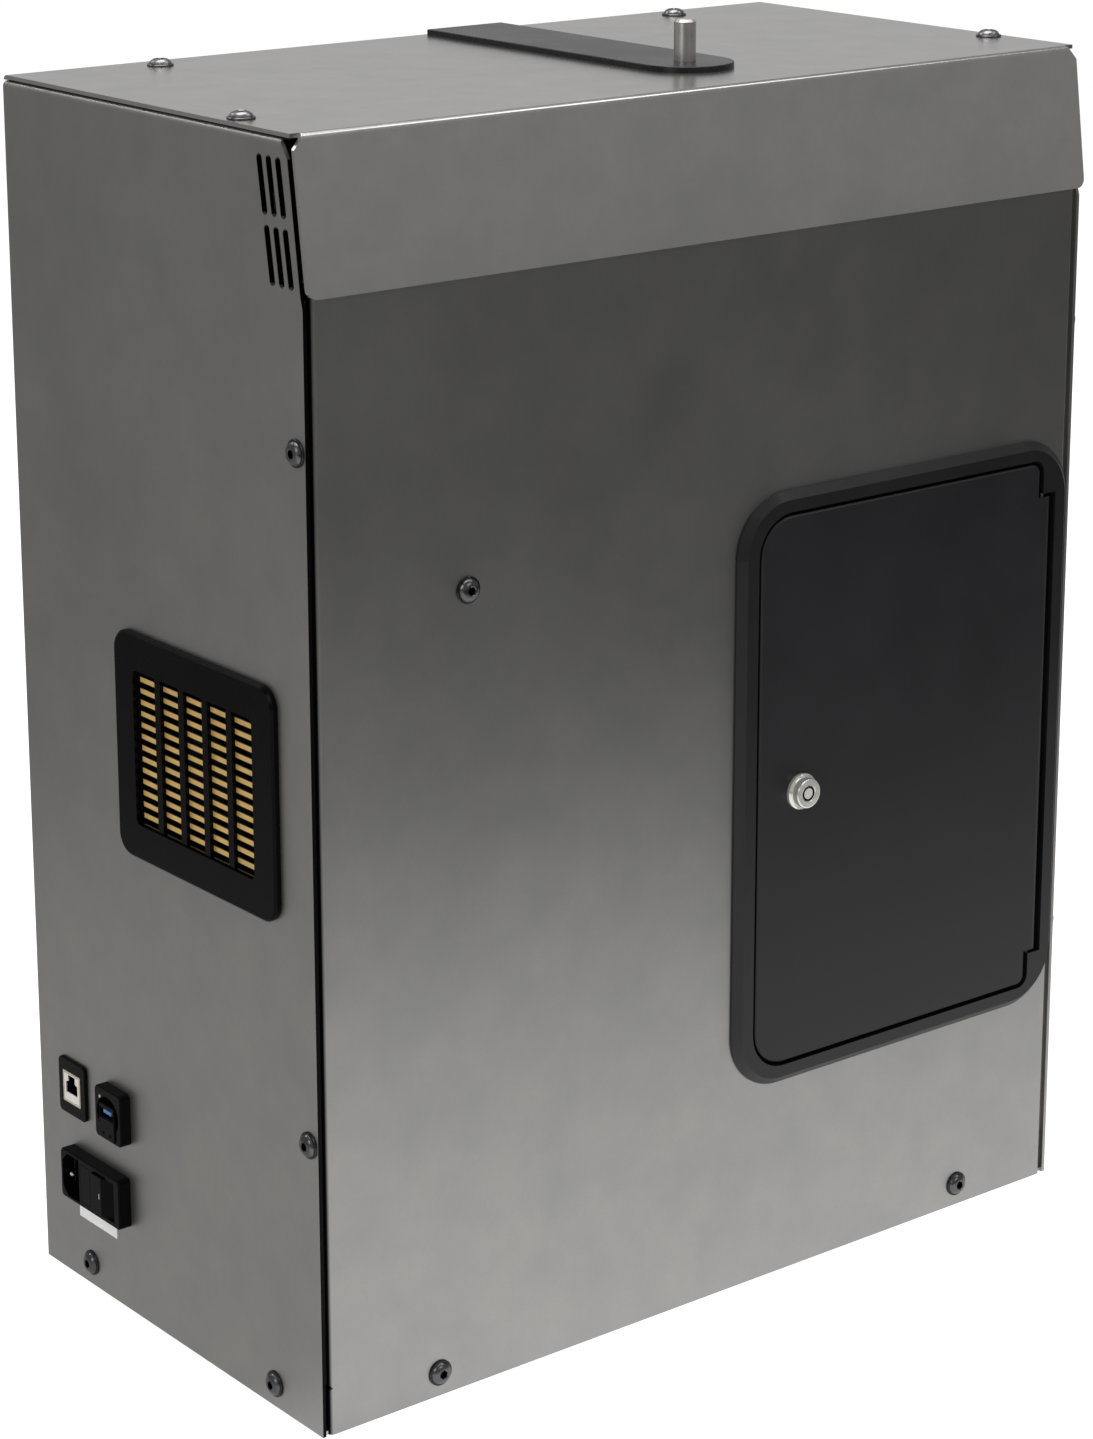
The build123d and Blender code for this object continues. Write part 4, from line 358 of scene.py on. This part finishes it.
# ---------------------------------------------------------------- pieces
def piece(name, mesh, key, body, matrix=Matrix.Identity(4)):
    """Link a finished bmesh as a piece that rides on a body."""
    data = bpy.data.meshes.new(name)
    mesh.to_mesh(data)
    mesh.free()
    data.materials.append(finish[key])
    made = bpy.data.objects.new(name, data)
    made.matrix_world = matrix
    bpy.context.scene.collection.objects.link(made)
    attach(made, body)
    return made


def rounded_plate(width, height, thick, radius, edge):
    """A plate on the XY plane with round corners and a small edge bevel."""
    mesh = bmesh.new()
    corners = []
    for quarter in range(4):
        cx = (width / 2 - radius) * (1 if quarter in (0, 3) else -1)
        cy = (height / 2 - radius) * (1 if quarter in (0, 1) else -1)
        for step in range(7):
            angle = quarter * pi / 2 + step * pi / 12
            corners.append(mesh.verts.new((cx + radius * cos(angle), cy + radius * sin(angle), 0)))
    base = mesh.faces.new(corners)
    top = bmesh.ops.extrude_face_region(mesh, geom=[base])
    raised = [item for item in top["geom"] if isinstance(item, bmesh.types.BMVert)]
    bmesh.ops.translate(mesh, verts=raised, vec=(0, 0, thick))
    rim = [e for e in mesh.edges if all(v.co.z > thick * 0.99 for v in e.verts)]
    bmesh.ops.bevel(mesh, geom=rim, offset=edge, segments=2, affect="EDGES")
    bmesh.ops.recalc_face_normals(mesh, faces=mesh.faces)
    return mesh


def closed_prism(outline, axis, low, high):
    """A closed solid: an outline of (a, b) points across an axis, drawn out along it."""
    mesh = bmesh.new()
    order = {"x": (2, 0, 1), "y": (0, 2, 1)}[axis]
    ends = []
    for reach in (low, high):
        ends.append([mesh.verts.new(tuple((a, b, reach)[k] for k in order)) for a, b in outline])
    mesh.faces.new(ends[0])
    mesh.faces.new(ends[1])
    for i in range(len(outline)):
        j = (i + 1) % len(outline)
        mesh.faces.new((ends[0][i], ends[0][j], ends[1][j], ends[1][i]))
    bmesh.ops.recalc_face_normals(mesh, faces=mesh.faces)
    return mesh


def applied(made):
    """The piece with its modifiers made part of its mesh."""
    shaped = bpy.data.meshes.new_from_object(made.evaluated_get(bpy.context.evaluated_depsgraph_get()))
    made.modifiers.clear()
    made.data = shaped
    return made


def cut_away(made, cutters):
    """Cut closed solids out of a piece."""
    for cutter in cutters:
        data = bpy.data.meshes.new("cutter")
        cutter.to_mesh(data)
        cutter.free()
        tool = bpy.data.objects.new("cutter", data)
        bpy.context.scene.collection.objects.link(tool)
        change = made.modifiers.new("cut", "BOOLEAN")
        change.operation = "DIFFERENCE"
        change.solver = "EXACT"
        change.object = tool
        applied(made)
        bpy.data.objects.remove(tool)


def soften(made, width, sharp=0.5):
    """Smooth shading with a fine bevel on the sharp edges."""
    if width:
        change = made.modifiers.new("edge", "BEVEL")
        change.width = width
        change.segments = 2
        change.limit_method = "ANGLE"
        change.angle_limit = sharp
        applied(made)
    mesh = bmesh.new()
    mesh.from_mesh(made.data)
    for face in mesh.faces:
        face.smooth = True
    for edge in mesh.edges:
        edge.smooth = len(edge.link_faces) == 2 and edge.calc_face_angle(0) < (0.9 if width else sharp)
    mesh.to_mesh(made.data)
    mesh.free()
    change = made.modifiers.new("flats", "WEIGHTED_NORMAL")
    change.weight = 100
    change.keep_sharp = True
    return applied(made)


def left_wall(y, z, x):
    """A matrix whose local Z points out of the left panel, and local Y up."""
    axes = Matrix(((0, 0, -1), (-1, 0, 0), (0, 1, 0))).to_4x4()
    return Matrix.Translation((x, y, z)) @ axes


inlet_low, inlet_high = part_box("inlet_body")


def label_plate():
    """The bare plate under the mains inlet."""
    mesh = rounded_plate(0.037, 0.0072, 0.0004, 0.0006, 0.00012)
    place = left_wall(inlet_low.y + 0.0329, inlet_low.z - 0.0080, left_x)
    piece("label_plate", mesh, "white", "cabinet", place)


# the hood's folds, in metres: the visor leans forward from the top fold
hood_low, hood_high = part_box("top_hood")
BEND = 0.003
VISOR_DROP = 0.0742
VISOR_LEAN = 0.0101
REAR_FLANGE = 0.022
VISOR_CORNER = 0.005
NOTCH_X, NOTCH_Z = 0.0062, 0.0072       # open notch at each front corner of the hood
SIDE_NOTCH_Y, SIDE_NOTCH_Z = 0.0055, 0.0078
OVER = 0.002                            # how far a cutter reaches past what it cuts
WELD = 0.000002                         # vertices this close are one


def fold(before, corner, after, radius, steps=10):
    """Points of the arc that rounds a corner between two straight runs."""
    a, b, c = (Vector(point) for point in (before, corner, after))
    back, ahead = (a - b).normalized(), (c - b).normalized()
    half = back.angle(ahead) / 2
    centre = b + (back + ahead).normalized() * radius / sin(half)
    start = b + back * radius * cos(half) / sin(half) - centre
    stop = b + ahead * radius * cos(half) / sin(half) - centre
    turn = start.angle(stop)
    points = []
    for step in range(steps + 1):
        share = step / steps * turn
        points.append(centre + (start * sin(turn - share) + stop * sin(share)) / sin(turn))
    return points


def hood_section():
    """The folded sheet's closed outline as (y, z) points, outer line first."""
    rear, front, top = hood_high.y, hood_low.y, hood_high.z
    down = Vector((-VISOR_LEAN, -VISOR_DROP)).normalized()
    inward = Vector((-down.y, down.x)) * SHEET
    outer = [
        Vector((rear, top - REAR_FLANGE)), Vector((rear, top)),
        Vector((front + VISOR_LEAN, top)), Vector((front, top - VISOR_DROP)),
    ]
    inner_fold = outer[2] + inward - down * (SHEET + inward.y) / down.y
    inner = [
        Vector((rear - SHEET, top - REAR_FLANGE)), Vector((rear - SHEET, top - SHEET)),
        inner_fold, outer[3] + inward,
    ]
    section = []
    for line, radius in ((outer, BEND), (inner, BEND - SHEET)):
        points = [line[0]] + fold(*line[0:3], radius) + fold(*line[1:4], radius) + [line[3]]
        section += points if line is outer else points[::-1]
    return section


def notch_triangle(edge, top, reach, drop):
    """A corner to cut off, as the outline of a triangle: reach along the edge, drop below it."""
    over = OVER if reach > 0 else -OVER
    return [
        (edge + reach + over * abs(reach) / drop, top + OVER),
        (edge - over, top + OVER),
        (edge - over, top - drop - OVER * drop / abs(reach)),
    ]


def dressed_hood():
    """Top, visor and rear flange in one sheet, with its corner notches and round lower corners."""
    made = piece("dressed_hood", closed_prism(hood_section(), "x", hood_low.x, hood_high.x),
                 "hood", "cabinet")
    low, top = hood_high.z - VISOR_DROP, hood_high.z
    cutters = []
    for edge, inward in ((hood_low.x, 1), (hood_high.x, -1)):
        corner = notch_triangle(edge, top, inward * NOTCH_X, NOTCH_Z)
        cutters.append(closed_prism(corner, "y", hood_low.y - 0.01, hood_low.y + VISOR_LEAN + 0.0023))
        out = edge - inward * OVER
        waste = [(out, low - OVER), (edge + inward * VISOR_CORNER, low - OVER)]
        for step in range(9):
            angle = step * pi / 16
            waste.append((
                edge + inward * VISOR_CORNER * (1 - sin(angle)), low + VISOR_CORNER * (1 - cos(angle)),
            ))
        waste.append((out, low + VISOR_CORNER))
        cutters.append(closed_prism(waste, "y", hood_low.y - 0.01, hood_low.y + 0.012))
        block = [(out, top - 0.05), (edge + inward * SHEET, top - 0.05),
                 (edge + inward * SHEET, top - 0.0024), (out, top - 0.0024)]
        cutters.append(closed_prism(block, "y", hood_high.y - SHEET - 0.0005, hood_high.y + 0.001))
    cut_away(made, cutters)
    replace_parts(soften(made, 0.00025), "top_hood")


def notched_side(name, outer_x, inward):
    """A side sheet with its upper front corner cut back beside the hood's notch."""
    data = nodes[name].data.copy()
    mesh = bmesh.new()
    mesh.from_mesh(data)
    bmesh.ops.remove_doubles(mesh, verts=mesh.verts, dist=WELD)
    top = max(vert.co.z for vert in mesh.verts)
    edge = min(vert.co.y for vert in mesh.verts if vert.co.z > top - 0.006)
    made = piece("notched_" + name, mesh, "side", "cabinet")
    corner = notch_triangle(edge, top, SIDE_NOTCH_Y, SIDE_NOTCH_Z)
    ends = sorted((outer_x - inward * 0.001, outer_x + inward * 0.005))
    cut_away(made, [closed_prism(corner, "x", *ends)])
    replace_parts(soften(made, 0.0, 0.4), name)


def solid_boxes(name):
    """The low and high corners of each separate solid of a CAD node."""
    mesh = bmesh.new()
    mesh.from_mesh(nodes[name].data)
    bmesh.ops.remove_doubles(mesh, verts=mesh.verts, dist=WELD)
    waiting, boxes = set(mesh.verts), []
    while waiting:
        reached, group = [waiting.pop()], []
        while reached:
            vert = reached.pop()
            group.append(vert.co.copy())
            for edge in vert.link_edges:
                other = edge.other_vert(vert)
                if other in waiting:
                    waiting.discard(other)
                    reached.append(other)
        boxes.append(tuple(Vector([pick(p[i] for p in group) for i in range(3)]) for pick in (min, max)))
    mesh.free()
    return sorted(boxes, key=lambda box: tuple(round(value, 5) for value in box[0]))


# a screw's rings from its shank's tip to its socket's floor: radius, height, and whether it is hexagonal
SCREW_RINGS = [
    (0.0022, -0.0120, 0), (0.0029, -0.0113, 0), (0.0029, 0.0, 0), (0.0066, 0.0, 0), (0.0068, 0.0002, 0),
    (0.0068, 0.0007, 0), (0.0065, 0.0010, 0), (0.0059, 0.0011, 0), (0.0057, 0.0014, 0), (0.0054, 0.0020, 0),
    (0.0049, 0.0026, 0), (0.0042, 0.0031, 0), (0.0034, 0.00345, 0), (0.0026, 0.0036, 0),
    (0.0020, 0.0033, 1), (0.0020, 0.0014, 1),
]
FLANGE_RINGS, SOCKET_RING = 8, 14       # the first rings and the last have painted shade of their own
HEAD_HEIGHT = 0.0036
ROUND = 36


def add_screw(mesh, place):
    """One flanged button-head screw: head above local Z = 0, shank below it."""
    rings = []
    for radius, height, hexed in SCREW_RINGS:
        ring = []
        for step in range(ROUND):
            angle = step * 2 * pi / ROUND
            reach = radius / cos(angle % (pi / 3) - pi / 6) if hexed else radius
            ring.append(mesh.verts.new(place @ Vector((reach * cos(angle), reach * sin(angle), height))))
        rings.append(ring)
    for index, (below, above) in enumerate(zip(rings, rings[1:])):
        for step in range(ROUND):
            after = (step + 1) % ROUND
            face = mesh.faces.new((below[step], below[after], above[after], above[step]))
            face.material_index = 1 if index < FLANGE_RINGS else 2 if index >= SOCKET_RING else 0
    mesh.faces.new(rings[0][::-1])
    mesh.faces.new(rings[-1]).material_index = 2


def panel_screws(name, axis, outward, keys=("screw", "screw_rim_painted_shade", "screw_socket_painted_shade")):
    """The screws of one panel, each where the CAD has it, with the socket turned its own way."""
    mesh = bmesh.new()
    out = Vector([outward if i == axis else 0 for i in range(3)])
    for index, (low, high) in enumerate(solid_boxes(name)):
        seat = (low + high) / 2
        seat[axis] = high[axis] - HEAD_HEIGHT if outward > 0 else low[axis] + HEAD_HEIGHT
        turn = Matrix.Rotation(0.35 + 0.8 * index, 4, "Z")
        add_screw(mesh, Matrix.Translation(seat) @ out.to_track_quat("Z", "Y").to_matrix().to_4x4() @ turn)
    made = piece("dressed_" + name, mesh, keys[0], "cabinet")
    for key in keys[1:]:
        made.data.materials.append(finish[key])
    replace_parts(soften(made, 0.0, 0.6), name)


SOCKET_REACH = 0.0187                   # socket's middle, from the inlet module's
BLADES = ((-0.002, 0.007, 0.012), (-0.002, -0.007, 0.012), (0.0048, -0.001, 0.0142))


def inlet_blades():
    """Line, neutral and earth blades with chamfered tips, and a painted highlight on the earth's tip as a
    bright cap.
    """
    low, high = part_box("inlet_pins")
    centre_y = inlet_low.y + (inlet_high.y - inlet_low.y) / 2 + SOCKET_REACH
    centre_z = (low.z + high.z) / 2
    mesh = bmesh.new()
    for y, z, length in BLADES:
        shoulder = length - 0.0013
        outline = [
            (-0.001, 0.0), (-0.001, shoulder), (-0.0004, length),
            (0.0004, length), (0.001, shoulder), (0.001, 0.0),
        ]
        ends = []
        for half in (-0.002, 0.002):
            ends.append([
                mesh.verts.new((high.x - reach, centre_y + y + half, centre_z + z + across))
                for across, reach in outline
            ])
        mesh.faces.new(ends[0])
        mesh.faces.new(ends[1][::-1])
        for i in range(len(outline)):
            j = (i + 1) % len(outline)
            mesh.faces.new((ends[0][i], ends[0][j], ends[1][j], ends[1][i]))
    bmesh.ops.recalc_face_normals(mesh, faces=mesh.faces)
    made = piece("inlet_blades", mesh, "nickel", "cabinet")
    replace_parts(soften(made, 0.0002), "inlet_pins")
    earth_y, earth_z, earth_length = BLADES[-1]
    # painted highlight: a bright cap on the earth blade's tip
    tip = rounded_plate(0.0023, 0.0018, 0.0006, 0.0007, 0.00025)
    place = left_wall(centre_y + earth_y, centre_z + earth_z, high.x - earth_length + 0.0002)
    piece("earth_tip_painted_highlight", tip, "tinned_and_tip_highlight", "cabinet", place)


ROCKER_RIDGE = 0.0099                   # the ridge between the rocker's flats, from its low side


def rocker_bar():
    """The printed bar that shows on, on the rocker's level flat."""
    low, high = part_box("switch_rocker")
    bar = rounded_plate(0.0008, 0.0032, 0.0002, 0.0003, 0.00006)
    place = left_wall(low.y + ROCKER_RIDGE + 0.0030, (low.z + high.z) / 2, low.x + 0.00017)
    piece("rocker_bar", bar, "print", "rocker", place)


JACK_OPENING = [                        # where a plug goes in, from the jack's middle
    (-0.0057, -0.0031), (0.0057, -0.0031), (0.0057, 0.0028), (0.0034, 0.0034),
    (0.0034, 0.0070), (-0.0034, 0.0070), (-0.0034, 0.0034), (-0.0057, 0.0028),
]
JACK_FACE = [(-0.0072, -0.00745), (0.0072, -0.00745), (0.0072, 0.00745), (-0.0072, 0.00745)]


def jack_part(name, mesh, key, proud, opening, edge):
    """A part of the network jack's shield, with an opening through it."""
    low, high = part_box("ethernet_jack")
    y, z = (low.y + high.y) / 2, (low.z + high.z) / 2
    made = piece(name, mesh, key, "cabinet", left_wall(y, z, low.x - proud))
    outline = [(y + across, z + up) for across, up in opening]
    cut_away(made, [closed_prism(outline, "x", low.x - 0.004, low.x + 0.004)])
    soften(made, edge)


def jack_lip():
    """The jack's bright face with its stepped opening."""
    jack_part("jack_lip", rounded_plate(0.0148, 0.0153, 0.0007, 0.0008, 0.0001), "tinned_and_tip_highlight",
              -0.0003, JACK_OPENING, 0.0002)


def jack_border():
    """The thin worn edge round the jack's bright face."""
    low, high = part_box("ethernet_jack")
    border = rounded_plate(high.y - low.y, high.z - low.z, 0.0003, 0.0006, 0.0001)
    jack_part("jack_border", border, "plated", 0.0001, JACK_FACE, 0.0)


TONGUE_LENGTH = 0.0070
SMALL_SCREW = ((0.0009, -0.001), (0.0009, 0.0), (0.0008, 0.0003), (0.0005, 0.0005), (0.0002, 0.0003))
SMALL_ROUND = 20


def usb_tongue():
    """The coloured contact tongue in the USB port."""
    low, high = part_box("usb_port")
    middle = (low.y + high.y) / 2
    mesh = rounded_plate(0.0076, 0.0023, TONGUE_LENGTH, 0.0003, 0.0002)
    place = left_wall(middle + 0.0004, (low.z + high.z) / 2 + 0.0009, low.x + 0.0075)
    piece("usb_tongue", mesh, "blue", "cabinet", place)


def usb_screw():
    """The small bright screw in the USB housing's upper rear corner."""
    low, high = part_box("usb_housing")
    mesh = bmesh.new()
    place = left_wall(high.y - 0.0058, high.z - 0.0052, low.x + 0.0006)
    rings = []
    for radius, height in SMALL_SCREW:
        rings.append([])
        for step in range(SMALL_ROUND):
            angle = step * 2 * pi / SMALL_ROUND
            rings[-1].append(mesh.verts.new((radius * cos(angle), radius * sin(angle), height)))
    for below, above in zip(rings, rings[1:]):
        for step in range(SMALL_ROUND):
            after = (step + 1) % SMALL_ROUND
            mesh.faces.new((below[step], below[after], above[after], above[step]))
    mesh.faces.new(rings[-1])
    mesh.faces.new(rings[0][::-1])
    soften(piece("usb_screw", mesh, "plated", "cabinet", place), 0.0)


label_plate()
dressed_hood()
notched_side("left_side_panel", left_x, 1)
notched_side("right_side_panel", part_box("right_side_panel")[1].x, -1)
panel_screws("left_panel_screws", 0, -1)
panel_screws("right_panel_screws", 0, 1)
panel_screws("front_panel_screws", 1, -1)
panel_screws("rear_panel_screws", 1, 1)
# the top screws' heads take the lighter, painted-light copy of the screw finish
panel_screws("top_hood_screws", 2, 1, ("painted_light_top_screw", "screw", "screw_socket_painted_shade"))
inlet_blades()
rocker_bar()
jack_lip()
jack_border()
usb_tongue()
usb_screw()


# ---------------------------------------------------------------- floor, light and camera
# the floor as reflections see it: metres in front of the cabinet (behind it is negative), grey
FLOOR_GLOW = [
    (-1.15, 0.2), (-0.8, 0.42), (-0.03, 0.45), (0.1, 0.94),
    (0.45, 0.82), (0.67, 0.74), (0.985, 0.07), (1.9, 0.05),
]
GLOW_REACH = 2.0                        # the ramp runs this far each way
FLOOR_SIZE = 14.0


def studio_floor():
    """Pale floor that meets the white background, with a darker reach for reflections."""
    mesh = bmesh.new()
    bmesh.ops.create_grid(mesh, x_segments=1, y_segments=1, size=FLOOR_SIZE)
    data = bpy.data.meshes.new("studio_floor")
    mesh.to_mesh(data)
    mesh.free()
    floor = bpy.data.objects.new("studio_floor", data)
    bpy.context.scene.collection.objects.link(floor)
    g = Graph("floor_paint")
    pale = g.node("ShaderNodeBsdfDiffuse")
    pale.inputs["Color"].default_value = (0.82, 0.82, 0.82, 1)
    lift = g.node("ShaderNodeEmission")
    lift.inputs["Color"].default_value = (1, 1, 1, 1)
    lift.inputs["Strength"].default_value = 0.8
    seen = g.node("ShaderNodeAddShader")
    g.link(pale.outputs[0], seen.inputs[0])
    g.link(lift.outputs[0], seen.inputs[1])
    across = g.maths("MULTIPLY", g.along(0), 0.3)
    ahead = g.maths("SUBTRACT", across, g.maths("MULTIPLY", g.along(1), 1.042))
    ramp = g.node("ShaderNodeValToRGB")
    stops = ramp.color_ramp.elements
    while len(stops) < len(FLOOR_GLOW):
        stops.new(0.5)
    for stop, (reach, grey) in zip(stops, FLOOR_GLOW):
        stop.position = 0.5 + reach / (2 * GLOW_REACH)
        stop.color = (grey, grey, grey, 1)
    g.link(g.spread(ahead, 0.0, 1.0, -GLOW_REACH, GLOW_REACH), ramp.inputs[0])
    glow = g.node("ShaderNodeEmission")
    g.link(ramp.outputs[0], glow.inputs["Color"])
    path = g.node("ShaderNodeLightPath")
    choice = g.node("ShaderNodeMixShader")
    g.link(path.outputs["Is Glossy Ray"], choice.inputs[0])
    g.link(seen.outputs[0], choice.inputs[1])
    g.link(glow.outputs[0], choice.inputs[2])
    # seen from below the floor is clear, so that the underside shows
    side = g.node("ShaderNodeNewGeometry")
    one_sided = g.node("ShaderNodeMixShader")
    g.link(side.outputs["Backfacing"], one_sided.inputs[0])
    g.link(choice.outputs[0], one_sided.inputs[1])
    g.link(g.node("ShaderNodeBsdfTransparent").outputs[0], one_sided.inputs[2])
    g.link(one_sided.outputs[0], g.out.inputs["Surface"])
    data.materials.append(g.material)


def studio_world():
    """White to the camera, grey to the reflections."""
    world = bpy.data.worlds.new("studio")
    bpy.context.scene.world = world
    world.use_nodes = True
    tree = world.node_tree
    tree.nodes.clear()
    out = tree.nodes.new("ShaderNodeOutputWorld")
    white = tree.nodes.new("ShaderNodeBackground")
    white.inputs["Color"].default_value = (1, 1, 1, 1)
    grey = tree.nodes.new("ShaderNodeBackground")
    grey.inputs["Color"].default_value = (0.255, 0.255, 0.257, 1)
    path = tree.nodes.new("ShaderNodeLightPath")
    mix = tree.nodes.new("ShaderNodeMixShader")
    tree.links.new(path.outputs["Is Camera Ray"], mix.inputs[0])
    tree.links.new(grey.outputs[0], mix.inputs[1])
    tree.links.new(white.outputs[0], mix.inputs[2])
    tree.links.new(mix.outputs[0], out.inputs["Surface"])


def softbox(name, place, aim, width, height, power):
    """A rectangular light that points at a place."""
    data = bpy.data.lights.new(name, "AREA")
    data.shape = "RECTANGLE"
    data.size = width
    data.size_y = height
    data.energy = power
    light = bpy.data.objects.new(name, data)
    light.location = place
    light.rotation_euler = (Vector(aim) - Vector(place)).to_track_quat("-Z", "Y").to_euler()
    bpy.context.scene.collection.objects.link(light)


def studio_lights():
    softbox("top_light", (0.0, 0.2, 2.6), (0, 0, 0.3), 2.0, 1.4, 30)
    softbox("left_light", (-2.6, -0.8, 1.9), (0, 0, 0.35), 1.0, 1.4, 10)
    softbox("front_light", (0.4, -2.6, 2.2), (0, 0, 0.3), 1.6, 1.0, 8)
    softbox("rear_light", (1.7, 2.2, 1.2), (0, 0, 0.64), 1.8, 1.2, 1.6)
    softbox("left_bend_light", (-0.9, 2.2, 2.4), (-0.25, 0, 0.6), 0.9, 0.7, 6.5)
    softbox("front_bend_light", (1.5, -0.75, 2.6), (0, -0.13, 0.6), 0.8, 0.6, 4)


def photo_camera():
    """The photograph's own view, solved from the cabinet's edges."""
    data = bpy.data.cameras.new("photo_camera")
    data.sensor_fit = "AUTO"
    data.sensor_width = 36.0
    data.lens = LENS
    data.shift_y = SHIFT_Y
    camera = bpy.data.objects.new("photo_camera", data)
    axes = Matrix((RIGHT_AXIS, UP_AXIS, BACK_AXIS)).transposed().to_4x4()
    camera.matrix_world = Matrix.Translation(CAMERA_PLACE) @ axes
    bpy.context.scene.collection.objects.link(camera)
    bpy.context.scene.camera = camera


LENS = 92.615
SHIFT_Y = -0.1212
CAMERA_PLACE = (-1.174003, -1.47733, 0.8948)
RIGHT_AXIS = (0.78517, -0.61928, -0.00113)
UP_AXIS = (0.16068, 0.20195, 0.96613)
BACK_AXIS = (-0.59808, -0.75876, 0.25807)

studio_floor()
studio_world()
studio_lights()
photo_camera()
bpy.context.scene.view_settings.view_transform = "Standard"
